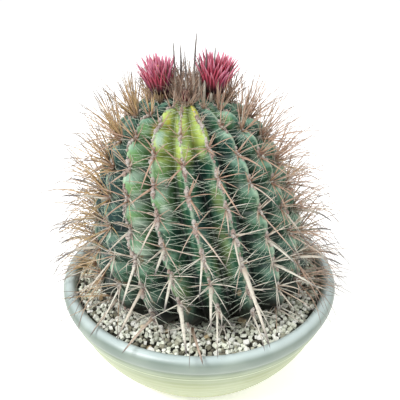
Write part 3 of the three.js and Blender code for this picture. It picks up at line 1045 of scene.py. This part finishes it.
def heroesByAreole():
    spots = {}
    for rib in range(globe["ribs"]):
        for height in areoleHeights(rib):
            edge = crestFrame(rib, height)[0]
            if edge.y < 0:
                spots[(rib, round(float(height), 2))] = pixelOf(edge)
    chosen = {}
    for hero in heroSpines:
        root = Vector(hero["root"])
        free = [spot for spot in spots if spot not in chosen]
        spot = min(free, key=lambda key: (spots[key] - root).length)
        chosen[spot] = hero
    return chosen


def spineFrom(spot, values, turn, upward, chance):
    lean = math.radians(max(6, chance.gauss(values["lean"], values["leanSpread"] * 0.6)))
    along = spot["climb"] * math.cos(turn) + spot["across"] * math.sin(turn)
    ahead = spot["normal"] * math.cos(lean) + along * math.sin(lean)
    ahead = (ahead + Vector((0, 0, upward))).normalized()
    length = chance.gauss(values["length"], values["lengthSpread"] * 0.7)
    length = max(spineShape["shortest"], length) * spot["size"]
    root = spot["seat"] + along * areoles["rootSpread"]
    flat = math.hypot(ahead.x, ahead.y)
    room = areoles["reach"] - math.hypot(root.x, root.y)
    return root, ahead, min(length, room / flat)


def growCentrals(bundle, spot, chance, hero):
    for kind in spineKinds:
        if spot["height"] < areoles["bareBelow"] and kind["name"] in ("sideCentral", "upperSide"):
            continue
        turn = math.radians(chance.gauss(kind["turn"], kind["turnSpread"] * 0.6))
        root, ahead, length = spineFrom(spot, kind, turn, young["upward"] * spot["youth"], chance)
        bend = Vector((0, 0, -1)) * kind["droop"] * chance.uniform(0.2, 2.2)
        bend += spot["across"] * chance.uniform(-0.09, 0.09)
        width = kind["width"] * chance.uniform(0.85, 1.15) * (1 - 0.35 * spot["youth"])
        wear = max(0, chance.gauss(spot["age"], bone["spread"]))
        if hero and kind["name"] == "lowerCentral":
            ahead, bend, length = heroSpine(hero, root)
            width = hero["width"]
            wear = hero["bone"]
        else:
            ahead, bend = clearOfBowl(root, ahead, bend, length)
        # tone: painted backlit glow and dark tips, more at the sides
        tone = hero["tone"] if hero else chance.random() * (0.35 + 0.65 * spot["aside"])
        bundle.add(root, ahead, bend, length, width, kind, tone, wear)


def growOuter(bundle, spot, chance):
    left = spot["azimuth"] < 0
    behind = float(smoothRise(abs(spot["azimuth"]), *outerSpines["behind"]))
    share = (1 if left else outerSpines["rightShare"]) * (1 - behind * (1 - outerSpines["backShare"]))
    aloft = float(smoothRise(spot["height"], *outerSpines["aloft"]))
    upward = outerSpines["upward"] * aloft + young["upward"] * spot["youth"]
    droop = outerSpines["droop"] + (outerSpines["upperDroop"] - outerSpines["droop"]) * aloft
    for _ in range(round(outerSpines["count"] * spot["aside"] * share)):
        turn = math.radians(chance.uniform(-160, 160))
        root, ahead, length = spineFrom(spot, outerSpines, turn, upward, chance)
        bend = Vector((0, 0, -1)) * droop * chance.uniform(0.3, 1.8)
        bend += spot["across"] * chance.uniform(-0.1, 0.1) - spot["normal"] * 0.05
        ahead, bend = clearOfBowl(root, ahead, bend, length)
        wear = max(0, chance.gauss(spot["age"] * 0.3, bone["spread"]))
        width = outerSpines["width"] * chance.uniform(0.8, 1.2)
        # tone: painted backlit glow and dark tips, less on the right
        tone = chance.uniform(0.4, 1.0) * (1 if left else outerSpines["rightTone"])
        bundle.add(root, ahead, bend, length, width, outerSpines, tone, wear)


def growCurls(bundle, spot, chance):
    for _ in range(curls["count"]):
        turn = math.radians(chance.uniform(*curls["turns"]))
        root, ahead, length = spineFrom(spot, curls, turn, 0, chance)
        bend = spot["across"] * chance.choice((-1, 1)) * curls["bend"]
        bend += spot["climb"] * chance.uniform(-0.9, 0.5)
        ahead, bend = clearOfBowl(root, ahead, bend, length)
        bundle.add(root, ahead, bend, length, curls["width"], curls, chance.random(), curls["bone"])


def growBristles(fine, spot, chance):
    count = bristles["few"] if spot["height"] < bristles["fewBelow"] else bristles["count"]
    for side in (-1, 1):
        for number in range(count):
            share = (number + chance.uniform(0.1, 0.9)) / count
            turn = math.radians(bristles["from"] + (bristles["to"] - bristles["from"]) * share) * side
            root, ahead, length = spineFrom(spot, bristles, turn, 0, chance)
            bend = -spot["normal"] * chance.uniform(0.0, 0.2) + spot["climb"] * chance.uniform(-0.1, 0.1)
            root += spot["climb"] * bristles["rootSpread"] * (1 - 2 * share)
            ahead, bend = clearOfBowl(root, ahead, bend, length)
            fine.add(root, ahead, bend, length, bristles["width"], bristles, chance.random())


def growAreole(bundle, fine, rib, height, chance, hero):
    edge, normal, climb, across = crestFrame(rib, height)
    youth = float(smoothRise(height, young["from"], young["to"]))
    azimuth = (float(ribAzimuth(rib, height)) + 180) % 360 - 180
    shorter = young["frontShorter"] if abs(azimuth) < young["frontDegrees"] else young["shorter"]
    worn = float(1 - smoothRise(height, bone["from"], bone["to"]))
    spot = {
        "seat": edge + normal, "normal": normal, "climb": climb, "across": across,
        "height": height, "azimuth": azimuth, "youth": youth,
        "aside": float(smoothRise(abs(azimuth), *outerSpines["aside"])),
        "size": min(1.0, 0.72 + float(crestRadius(height)) / 300) * (1 - shorter * youth),
        "age": bone["crown"] + (bone["base"] - bone["crown"]) * worn,
    }
    growCentrals(bundle, spot, chance, hero)
    growOuter(bundle, spot, chance)
    if rib in curls["ribs"] and height < curls["below"]:
        growCurls(bundle, spot, chance)
    growBristles(fine, spot, chance)


def feltSeats(rib, height, chance):  # the woolly pads at and beside one areole
    woollyRib = rib in areoles["woollyRibs"]
    woolly = woollyRib and height > areoles["woolFrom"]
    run = float(np.interp(height, crestHeights, crestLengths))
    offsets = list(areoles["tuftOffsets"])
    if woolly:
        offsets += [offset for offset in areoles["woolOffsets"] if chance.random() < 0.7]
    seats = []
    for offset in offsets:
        small = min(1.0, 0.5 + float(crestRadius(height)) / 150) * chance.uniform(0.7, 1.15)
        small *= 1 if woollyRib or offset == 0 else areoles["barer"]
        small *= areoles["woolSize"] if offset in areoles["woolOffsets"] else 1
        near = float(np.interp(run + offset, crestLengths, crestHeights))
        edge, normal, climb, across = crestFrame(rib, near)
        wide = areoles["feltWidth"] * small * (areoles["woolWidth"] if woolly else 1)
        sizes = (areoles["feltLength"] * small, wide, areoles["feltHeight"] * small)
        edge += across * chance.uniform(-0.8, 0.8)
        seats.append((edge + normal * 0.2, normal, climb, across, sizes))
    return seats


def makeRibSpines(rib, materials, templates, heroes):
    chance = random.Random(4200 + rib)
    bundle = Bundle()
    fine = Bundle()
    seats = []
    for height in areoleHeights(rib):
        hero = heroes.get((rib, round(float(height), 2)))
        growAreole(bundle, fine, rib, height, chance, hero)
        seats += feltSeats(rib, height, chance)
    parts = [(bundle.make(templates[0]), 0), (feltMesh(seats, 70 + rib), 1), (fine.make(templates[1]), 0)]
    addSpines(f"spines_{rib + 1:02d}", f"spines_rib_{rib + 1:02d}", materials, parts)


def makeSpines():
    heroes = heroesByAreole()
    materials = [spineMaterial(), feltMaterial()]
    templates = [spineTemplate(6), spineTemplate(4)]
    for rib in range(globe["ribs"]):
        makeRibSpines(rib, materials, templates, heroes)
    makeCrownSpines(materials, templates)


crown = {
    "frontShare": 0.45,  # how far the tuft reaches to the front, compared with the back
    "back": 2,
    "tangle": 0.36,
    "width": 0.38,
    "flat": 0.8,
    "stout": 0.8,
    "middle": {"count": 150, "inner": 0, "outer": 16, "splay": 0.42, "shortest": 14, "longest": 41},
    "ring": {"count": 42, "inner": 7, "outer": 15, "splay": 0.36, "shortest": 18, "longest": 36},
    "budRing": {"count": 60, "inner": 3.8, "outer": 8, "splay": 0.2, "shortest": 13, "longest": 23},
    "tuft": {"count": 40, "inner": 0, "outer": 11, "splay": 0.26, "shortest": 24, "longest": 43},
    "felt": (12, 12, 3.5),
    "needle": {"width": 1.35, "flat": 0.8, "stout": 1.0, "tone": 1.6, "bone": 0.75},
    # Needles that stand above the rest, each by its place on the crown and its length
    "tall": [
        (6.5, -2, 61), (-8.3, -3, 53), (-3.5, 3, 49), (15.5, -7, 48), (21.5, -7, 50), (11.5, -4, 43),
        (0.5, -5, 46),
    ],
}
crownTop = Vector(axisPlace(np.float64(globe["top"])))
budSpot = Vector((-0.2, -11, 0))


def addCrownSpine(bundle, chance, spot, values, number, lean):
    out = Vector(outward(np.float64(number * goldenAngle)))
    spread = math.sqrt((number + 0.5) / values["count"])
    reach = values["inner"] + (values["outer"] - values["inner"]) * spread
    root = crownTop + spot + out * reach
    if spot != budSpot:
        root.y += crown["back"] - min(0, out.y * reach) * (1 - crown["frontShare"])
    root.z = crestHeightAt(root) + 0.5
    ahead = lean + out * values["splay"] * (0.3 + 0.7 * spread)
    ahead += Vector((chance.gauss(0, crown["tangle"]), chance.gauss(0, crown["tangle"]), 0))
    length = chance.uniform(values["shortest"], values["longest"])
    bend = Vector((chance.gauss(0, 0.12), chance.gauss(0, 0.12), -0.03)) + out * 0.06
    width = crown["width"] * chance.uniform(0.75, 1.3)
    bundle.add(root, ahead, bend, length, width, crown, chance.random() * 0.4, chance.uniform(0, 0.3))


def crestHeightAt(point):  # the height of the dome's skin below a point near the crown
    reach = math.hypot(point.x - crownTop.x, point.y - crownTop.y)
    heights = np.arange(globe["widest"], globe["top"], 0.25)
    return float(heights[np.argmin(np.abs(crestRadius(heights) - reach))])


def makeCrownSpines(materials, templates):
    chance = random.Random(9)
    bundle = Bundle()
    up = Vector((0, 0, 1))
    groups = [("middle", Vector(), up)]
    for values in flowers:
        groups.append(("ring", Vector((values["x"], values["y"], 0)), flowerMatrix(values).to_3x3() @ up))
    groups += [("budRing", budSpot, up), ("tuft", Vector(), up)]
    for name, spot, lean in groups:
        for number in range(crown[name]["count"]):
            addCrownSpine(bundle, chance, spot, crown[name], number, lean)
    needle = crown["needle"]
    for x, y, length in crown["tall"]:
        root = crownTop + Vector((x, y, 0))
        ahead = Vector((x * 0.004, 0, 1))
        bend = Vector((chance.gauss(0, 0.03), chance.gauss(0, 0.03), 0))
        bundle.add(root, ahead, bend, length, needle["width"], needle, needle["tone"], needle["bone"])
    seats = [(crownTop + Vector((0, 0, -1)), up, Vector((0, 1, 0)), Vector((1, 0, 0)), crown["felt"])]
    parts = [(bundle.make(templates[0]), 0), (feltMesh(seats, 5), 1)]
    addSpines("spines_top", "spines_crown", materials, parts)


# Flowers and bud

flowers = [
    {"name": "flower_left", "x": -20.5, "y": 0, "tilt": -9, "size": 0.95, "turn": 0, "open": 0.75},
    {"name": "flower_right", "x": 23, "y": 1, "tilt": 7, "size": 1.0, "turn": 9, "open": 1.0},
]
bloom = {
    "drop": 1,
    "tubeHeight": 14,
    "footRadius": 5,
    "mouthRadius": 8.5,
    "sunk": 9,
    "petalLength": 31,
    "petalWidth": 2.2,
    "petalThickness": 0.4,
    "whorls": [
        {"count": 20, "radius": 9.0, "splay": 20, "length": 0.94, "low": -6},
        {"count": 20, "radius": 8.2, "splay": 16, "length": 1.0, "low": -4},
        {"count": 17, "radius": 6.8, "splay": 11, "length": 0.98, "low": -2.5},
        {"count": 12, "radius": 5.0, "splay": 6, "length": 0.9, "low": -1},
    ],
    "scales": 30,
    "scale": {"length": 6.5, "width": 2.3, "splay": 9},
    "stamens": 70,
    "stamenRing": 4.4,
    "filament": {"length": 11, "width": 0.3, "flat": 1.0, "stout": 0.8},
    "antherRadius": 0.7,
    "style": [(0, 0.4), (1.1, 0.4), (0.8, 6), (0.8, 13), (1.2, 14.4), (0, 15)],
    "stigmaLobes": 8,
    "lobe": (0.5, 0.5, 1.9),
    "lobeTilt": 34,
}
flowerParts = {  # slot and node of each piece
    "scales": ("tube", "tube"),
    "corolla": ("petal", "petals"),
    "anthers": ("stamen", "stamens"),
    "style": ("stigma", "stigma"),
}
petalTints = {
    "edge": (194, 82, 104),
    "middle": (96, 8, 32),
    "base": (40, 4, 14),
    "tip": (232, 160, 180),
    "violet": (128, 44, 108),
}


def petalMaterial():
    material, place = startMaterial("petal")
    along, side, tone = [attribute(place, name) for name in ("along", "side", "tone")]
    vein = grain(place, 1.2, 3)
    colour = blend(rise(side + vein * 0.25, 0.2, 0.95), petalTints["middle"], petalTints["edge"])
    colour = blend(1 - rise(along + vein * 0.1, 0.1, 0.62), colour, petalTints["base"])
    colour = blend(rise(along + tone * 0.3, 0.7, 1.15) * 0.8, colour, petalTints["tip"])
    colour = blend(rise(tone, 0.6, 1.0) * 0.28, colour, petalTints["violet"])
    sockets = {
        "Base Color": colour,
        "Roughness": 0.42 + vein * 0.2,
        "Subsurface Weight": 0.25,
        "Subsurface Radius": (1.0, 0.3, 0.5),
        "Subsurface Scale": 0.001,
    }
    endMaterial(place, sockets, (vein, 0.0003))
    return material


plainLooks = {  # two tints, the size of their blotches, roughness, and the relief's depth in metres
    "tubeScales": ((66, 20, 30), (150, 70, 70), 2.5, 0.5, 0.0004),
    "anther": ((120, 20, 50), (196, 150, 70), 2, 0.6, 0.0003),
    "style": ((190, 150, 80), (226, 200, 130), 2, 0.55, 0.0003),
    "bud": ((44, 6, 16), (94, 18, 36), 3, 0.45, 0.0004),
    # near-black painted shade, seen in the gaps between the grains
    "gravelDust": ((30, 30, 25), (84, 82, 70), 2.0, 0.9, 0.0008),
    "soilMix": ((36, 26, 18), (84, 66, 48), 3, 0.95, 0.001),
    "coarsePumice": ((120, 108, 84), (204, 196, 170), 8, 0.92, 0.002),
    "netPlastic": ((22, 30, 26), (52, 64, 56), 5, 0.5, 0.0002),
}


def plainMaterial(name):
    dark, light, size, roughness, depth = plainLooks[name]
    material, place = startMaterial(name)
    patch = grain(place, size, 4, 0.6)
    fine = grain(place, size / 6, 2)
    colour = blend(rise(patch, 0.35, 0.65), dark, light)
    colour = blend(rise(fine, 0.5, 0.75) * 0.3, colour, dark)
    sockets = {"Base Color": colour, "Roughness": roughness + fine * 0.15}
    endMaterial(place, sockets, (patch + fine * 0.4, depth))
    return material


def flowerMatrix(values):
    place = crownTop + Vector((values["x"], values["y"], -bloom["drop"]))
    tilt = Matrix.Rotation(math.radians(values["tilt"]), 4, "Y")
    return Matrix.Translation(place) @ tilt @ Matrix.Rotation(math.radians(values["turn"]), 4, "Z")


def petalTemplate():  # a flat strip, 2 wide and 1 long, given a thickness
    bm = bmesh.new()
    bmesh.ops.create_grid(bm, x_segments=4, y_segments=10, size=1)
    bmesh.ops.scale(bm, vec=(1, 0.5, 1), verts=bm.verts)
    bmesh.ops.translate(bm, vec=(0, 0.5, 0), verts=bm.verts)
    bmesh.ops.solidify(bm, geom=list(bm.faces), thickness=0.1)
    bmesh.ops.recalc_face_normals(bm, faces=bm.faces)
    return toMesh(bm)


def petalPlaces(unit, length, width, splay, chance):  # bends and tapers the strip, base at the origin
    along = unit[:, 1]
    side = unit[:, 0]
    depth = unit[:, 2] / 0.1 * bloom["petalThickness"] * (1 - 0.6 * along)
    outline = (0.42 + 0.58 * np.sin(np.pi * np.clip(along, 0, 1) ** 0.8)) * (1 - along ** 4) + 0.03
    wide = side * outline * width
    curl = 0.16 * (wide ** 2) / width
    angle = np.radians(splay) * (0.75 + 0.55 * along) + chance.gauss(0, 0.05)
    reach = along * length
    out = np.sin(angle) * reach - curl * np.cos(angle) + depth * np.cos(angle)
    up = np.cos(angle) * reach + curl * np.sin(angle) - depth * np.sin(angle)
    sway = chance.gauss(0, 0.05) * reach * along
    return np.stack([wide + sway, -out, up], 1)


def addScale(bm, template, places, number):  # one scale of a tube or a bud
    turn = np.array(Matrix.Rotation(number * math.radians(goldenAngle), 3, "Z"))
    leaf = template.copy()
    writePlaces(leaf, places @ turn.T)
    bm.from_mesh(leaf)


def addFlowerPart(values, part, mesh, matrix, material):
    mesh.transform(Matrix.Scale(mm, 4) @ matrix)
    name = values["name"]
    slot, node = flowerParts[part]
    addPiece(f"{name}_{part}", mesh, [material], [f"{name}_{node}"])


def makePetals(values, material, mouth):
    chance = random.Random(31 if values["x"] < 0 else 32)
    template = petalTemplate()
    unit = readPlaces(template)
    places, tones = [], []
    for whorl in bloom["whorls"]:
        for number in range(whorl["count"]):
            length = bloom["petalLength"] * whorl["length"] * values["size"] * chance.uniform(0.9, 1.08)
            width = bloom["petalWidth"] * chance.uniform(0.85, 1.15)
            petal = petalPlaces(unit, length, width, whorl["splay"] * values["open"], chance)
            petal += np.array([0, -whorl["radius"] * values["size"], whorl["low"]])
            angle = math.tau * (number + chance.uniform(-0.2, 0.2)) / whorl["count"]
            turn = np.array(Matrix.Rotation(angle, 3, "Z"))
            places.append(petal @ turn.T)
            tones.append(chance.random())
    mesh = repeated(template, len(places))
    writePlaces(mesh, np.concatenate(places))
    writeAttribute(mesh, "along", np.tile(unit[:, 1], len(places)))
    writeAttribute(mesh, "side", np.tile(np.abs(unit[:, 0]), len(places)))
    writeAttribute(mesh, "tone", np.outer(tones, np.ones(len(unit))))
    addFlowerPart(values, "corolla", mesh, mouth, material)


def makeTube(values, material, base):
    size = values["size"]
    height = bloom["tubeHeight"] * size
    foot = bloom["footRadius"] * size
    mouth = (bloom["mouthRadius"] - 0.6) * size
    profile = [(0, -bloom["sunk"]), (foot * 0.9, -bloom["sunk"])]
    for row in range(13):
        share = row / 12
        radius = foot + (mouth - foot) * smoothRise(share, 0.1, 0.95)
        profile.append((float(radius), height * share))
    profile += [(mouth * 0.7, height - 1), (0, height - 2)]
    bm = bmesh.new()
    bm.from_mesh(spunMesh(profile, 24, False))
    chance = random.Random(51)
    template = petalTemplate()
    unit = readPlaces(template)
    scale = bloom["scale"]
    for number in range(bloom["scales"]):
        share = (number + 0.5) / bloom["scales"]
        radius = foot + (mouth - foot) * float(smoothRise(share, 0.1, 0.95))
        length = scale["length"] * (0.7 + share * 0.8)
        places = petalPlaces(unit, length, scale["width"], scale["splay"], chance)
        places += np.array([0, -radius + 0.2, height * share * 0.95 - 2])
        addScale(bm, template, places, number)
    addFlowerPart(values, "scales", toMesh(bm), base, material)


def makeStamens(values, material, template, mouth):
    chance = random.Random(61)
    size = values["size"]
    filament = bloom["filament"]
    bundle = Bundle()
    for number in range(bloom["stamens"]):
        spread = 0.35 + 0.65 * math.sqrt((number + 0.5) / bloom["stamens"])
        out = Vector(outward(np.float64(number * goldenAngle)))
        root = out * spread * bloom["stamenRing"] * size
        ahead = Vector((0, 0, 1)) + out * 0.1
        length = filament["length"] * chance.uniform(0.8, 1.1) * size
        bundle.add(root, ahead, -out * 0.05, length, filament["width"], filament, chance.random())
    mesh = bundle.make(template)
    mesh.transform(Matrix.Scale(1 / mm, 4))
    bm = bmesh.new()
    bm.from_mesh(mesh)
    for row in bundle.rows:
        root, ahead, bend, length = Vector(row[0:3]), Vector(row[3:6]), Vector(row[6:9]), row[9]
        tip = root + ahead.normalized() * (length - 1) + bend * length
        spot = Matrix.Translation(tip)
        bmesh.ops.create_icosphere(bm, subdivisions=1, radius=bloom["antherRadius"], matrix=spot)
    addFlowerPart(values, "anthers", toMesh(bm), mouth, material)


def makeStigma(values, material, mouth):
    bm = bmesh.new()
    bm.from_mesh(spunMesh(bloom["style"], 12, False))
    for number in range(bloom["stigmaLobes"]):
        turn = Matrix.Rotation(math.tau * number / bloom["stigmaLobes"], 4, "Z")
        tilt = Matrix.Rotation(math.radians(bloom["lobeTilt"]), 4, "X")
        shape = turn @ Matrix.Translation((0, -0.7, 14)) @ tilt @ Matrix.Diagonal((*bloom["lobe"], 1))
        lobe = shape @ Matrix.Translation((0, 0, 1))
        bmesh.ops.create_uvsphere(bm, u_segments=8, v_segments=6, radius=1, matrix=lobe)
    addFlowerPart(values, "style", toMesh(bm), mouth, material)


bud = {"radius": 4, "height": 17, "sunk": 4.5, "scales": 26, "scaleLength": 5.2, "scaleWidth": 1.7}


def makeBud():
    centre = crownTop + budSpot + Vector((0, 0, bud["height"] / 2 - bud["sunk"]))
    bm = bmesh.new()
    egg = Matrix.Diagonal((bud["radius"] * 0.9, bud["radius"] * 0.9, bud["height"] / 2, 1))
    bmesh.ops.create_uvsphere(bm, u_segments=20, v_segments=14, radius=1, matrix=egg)
    chance = random.Random(77)
    template = petalTemplate()
    unit = readPlaces(template)
    for number in range(bud["scales"]):
        share = (number + 0.5) / bud["scales"]
        height = -0.2 + 1.05 * share
        radius = bud["radius"] * math.sqrt(max(0.05, 1 - height ** 2)) * 0.92
        places = petalPlaces(unit, bud["scaleLength"], bud["scaleWidth"], -34 * share - 2, chance)
        places += np.array([0, -radius, height * bud["height"] / 2 - 1.6])
        addScale(bm, template, places, number)
    mesh = toMesh(bm)
    mesh.transform(Matrix.Scale(mm, 4) @ Matrix.Translation(centre))
    addPiece("bud", mesh, [plainMaterial("bud")], ["flower_bud"])


def makeFlowers(template):
    petal = petalMaterial()
    tube, anther, style = [plainMaterial(name) for name in ("tubeScales", "anther", "style")]
    for values in flowers:
        base = flowerMatrix(values)
        mouth = base @ Matrix.Translation((0, 0, bloom["tubeHeight"] * values["size"]))
        makeTube(values, tube, base)
        makePetals(values, petal, mouth)
        makeStamens(values, anther, template, mouth)
        makeStigma(values, style, mouth)
    makeBud()


# Gravel and what lies under it

gravel = {
    "grains": 1500,
    "fillers": 1000,
    "small": 2.0,
    "large": 3.4,
    "stones": 34,
    "stoneSize": 4.6,
    "fillerSizes": (1.7, 2.4),
    "level": 84.2,
    "fillerLevel": 81.2,
    "bedBottom": 72.3,
    "bedInner": 60,
    "fillerInner": 66,
    "innerGap": 1.0,
    "tries": 30,  # places that a grain may try before it is left out
    "cell": 6,
    "crowding": 0.72,
    "kinds": 8,
    "blank": 1.6,
    "bevels": (0.2, 0.26, 0.32),
    "jitter": (0.7, 1.12),
    "stretch": ((0.85, 1.25), (0.7, 1.0), (0.6, 0.9)),
    "stainWidth": 9,  # grains this near to the stem are darker: painted shade, with some dirt
    "tones": [
        # the darkest tones are painted shade near the stem and between the upper grains
        (0.0, (46, 44, 36)),
        (0.1, (150, 148, 128)),
        (0.28, (232, 237, 219)),
        (0.7, (247, 251, 238)),
        (0.97, (253, 253, 248)),
        (0.98, (214, 192, 150)),
        (1.0, (170, 146, 112)),
    ],
    "dustTint": (206, 200, 172),
    "pitTint": (126, 120, 100),
}


def bedProfile():
    inner, bottom, top = gravel["bedInner"], gravel["bedBottom"], gravel["fillerLevel"] - 0.6
    profile = [(inner, bottom)]
    for row in range(6):
        height = bottom + (top - bottom) * row / 5
        profile.append((boreRadius(height) - 0.6, height))
    profile.append((inner, top))
    return profile


def grainTemplates():
    chance = random.Random(12)
    templates = []
    for kind in range(gravel["kinds"]):
        bm = bmesh.new()
        bmesh.ops.create_cube(bm, size=gravel["blank"])
        bmesh.ops.bevel(
            bm, geom=list(bm.edges), offset=gravel["bevels"][kind % 3], affect="EDGES", segments=1,
            profile=0.5, material=-1,
        )
        for vert in bm.verts:
            vert.co *= chance.uniform(*gravel["jitter"])
        bmesh.ops.recalc_face_normals(bm, faces=bm.faces)
        templates.append(toMesh(bm))
    return templates


def gravelMaterial():
    material, place = startMaterial("gravelGrains")
    pit = grain(place, 0.7, 3, 0.7)
    dust = grain(place, 2.2, 3)
    colour = place.node("ShaderNodeValToRGB", {"stops": gravel["tones"]}, {0: attribute(place, "tone")})
    colour = blend(rise(dust, 0.4, 0.7) * 0.25, colour, gravel["dustTint"])
    colour = blend(rise(pit, 0.58, 0.7) * 0.4, colour, gravel["pitTint"])
    sockets = {"Base Color": colour, "Roughness": 0.85 + pit * 0.1}
    endMaterial(place, sockets, (pit + dust * 0.6, 0.0005))
    return material


def scatterGrains():
    chance = random.Random(5)
    spots = []
    cells = {}
    wanted = [gravel["stoneSize"] * chance.uniform(0.8, 1.1) for _ in range(gravel["stones"])]
    wanted += [gravel["small"] + (gravel["large"] - gravel["small"]) * chance.random() ** 1.6
               for _ in range(gravel["grains"])]
    for size in wanted:
        for _ in range(gravel["tries"]):
            degrees = chance.uniform(0, 360)
            rib = (degrees - globe["frontDegrees"]) / 360 * globe["ribs"]
            inner = stemEdge(rib, gravel["level"]) + gravel["innerGap"]
            outer = boreRadius(gravel["level"]) - size * 0.7
            radius = math.sqrt(chance.uniform(inner ** 2, outer ** 2))
            spot = Vector(outward(np.float64(degrees))) * radius
            cell = (int(spot.x // gravel["cell"]), int(spot.y // gravel["cell"]))
            near = [other for x in (-1, 0, 1) for y in (-1, 0, 1)
                    for other in cells.get((cell[0] + x, cell[1] + y), [])]
            if all((spot - other).length > gravel["crowding"] * (size + room) for other, room in near):
                cells.setdefault(cell, []).append((spot.copy(), size))
                spot.z = gravel["level"] - 0.35 * size + chance.uniform(-0.7, 0.7)
                spots.append((spot, size))
                break
    for _ in range(gravel["fillers"]):
        outer = boreRadius(gravel["fillerLevel"]) - 2
        radius = math.sqrt(chance.uniform(gravel["fillerInner"] ** 2, outer ** 2))
        spot = Vector(outward(np.float64(chance.uniform(0, 360)))) * radius
        spot.z = gravel["fillerLevel"] + chance.uniform(-0.9, 0.9)
        spots.append((spot, chance.uniform(*gravel["fillerSizes"])))
    return spots


def gapToStem(spot):
    rib = (math.degrees(math.atan2(spot.x, -spot.y)) - globe["frontDegrees"]) / 360 * globe["ribs"]
    return math.hypot(spot.x, spot.y) - stemEdge(rib, gravel["level"])


def stemEdge(rib, height):
    across = abs(rib - round(rib)) * 2
    height = np.float64(height)
    return float(crestRadius(height) - valleyDepth(height) * across ** globe["valleyEdge"])


def makeGravel():
    chance = random.Random(21)
    spots = scatterGrains()
    templates = grainTemplates()
    units = [readPlaces(template) for template in templates]
    tones = []
    bm = bmesh.new()
    for kind, (template, unit) in enumerate(zip(templates, units)):
        mine = spots[kind::gravel["kinds"]]
        places = []
        for spot, size in mine:
            turn = Matrix.Rotation(chance.uniform(0, math.tau), 3, "Z")
            turn = turn @ Matrix.Rotation(chance.gauss(0, 0.6), 3, "X")
            turn = turn @ Matrix.Rotation(chance.gauss(0, 0.6), 3, "Y")
            stretch = np.array([chance.uniform(*limits) for limits in gravel["stretch"]])
            places.append((unit * stretch * size) @ np.array(turn).T + np.array(spot))
            # grains of the lower layer are darker: painted shade between the upper grains
            tone = chance.random() * (0.45 if spot.z < gravel["fillerLevel"] + 1 else 1)
            # painted shade, with some dirt: grains near the stem are darker
            tone *= 0.1 + 0.9 * float(smoothRise(gapToStem(spot), 1, gravel["stainWidth"]))
            tones.append(np.full(len(unit), tone))
        mesh = repeated(template, len(mine))
        writePlaces(mesh, np.concatenate(places) * mm)
        bm.from_mesh(mesh)
    mesh = toMesh(bm)
    writeAttribute(mesh, "tone", np.concatenate(tones))
    layOutFaces(mesh)
    piece = addPiece("gravel_grains", mesh, [gravelMaterial()], ["top_gravel"])
    for polygon in piece.data.polygons:
        polygon.use_smooth = False
    bed = spunMesh(bedProfile(), 96, True)
    for vertex in bed.vertices:
        if vertex.co.z > 76:
            vertex.co.z += noise.noise(vertex.co * 0.3) * 0.5
    writePlaces(bed, readPlaces(bed) * mm)
    # the bed under the grains carries painted shade for the gaps
    addPiece("gravel_bed", bed, [plainMaterial("gravelDust")], ["top_gravel"])


def dressNodes():
    names = {"soil": "soilMix", "drainage_pumice": "coarsePumice", "drain_net": "netPlastic"}
    looks = {node: plainMaterial(name) for node, name in names.items()}
    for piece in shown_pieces():
        material = looks.get(piece.get("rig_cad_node"))
        if material:
            piece.data.materials.clear()
            piece.data.materials.append(material)


def makeFloor():
    bm = bmesh.new()
    bmesh.ops.create_grid(bm, x_segments=1, y_segments=1, size=studio["floorSize"] / 2 * mm)
    floor = bpy.data.objects.new("floor", toMesh(bm, "floor"))
    material, place = startMaterial("floor")
    tint = paint(*studio["floorTint"])
    sockets = {"Base Color": tint, "Roughness": 0.9, "Emission Color": (1, 1, 1, 1),
               "Emission Strength": studio["floorGlow"]}
    endMaterial(place, sockets)
    floor.data.materials.append(material)
    floor.location.z = -0.0002
    bpy.context.scene.collection.objects.link(floor)
    floor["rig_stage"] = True


makeCamera()
makeSky()
for lampName in ("key", "fill", "back"):
    makeLamp(lampName)
makeFloor()
makeBowl()
makeGlobe()
makeSpines()
makeFlowers(spineTemplate(4))
makeGravel()
dressNodes()
print("all pieces made")
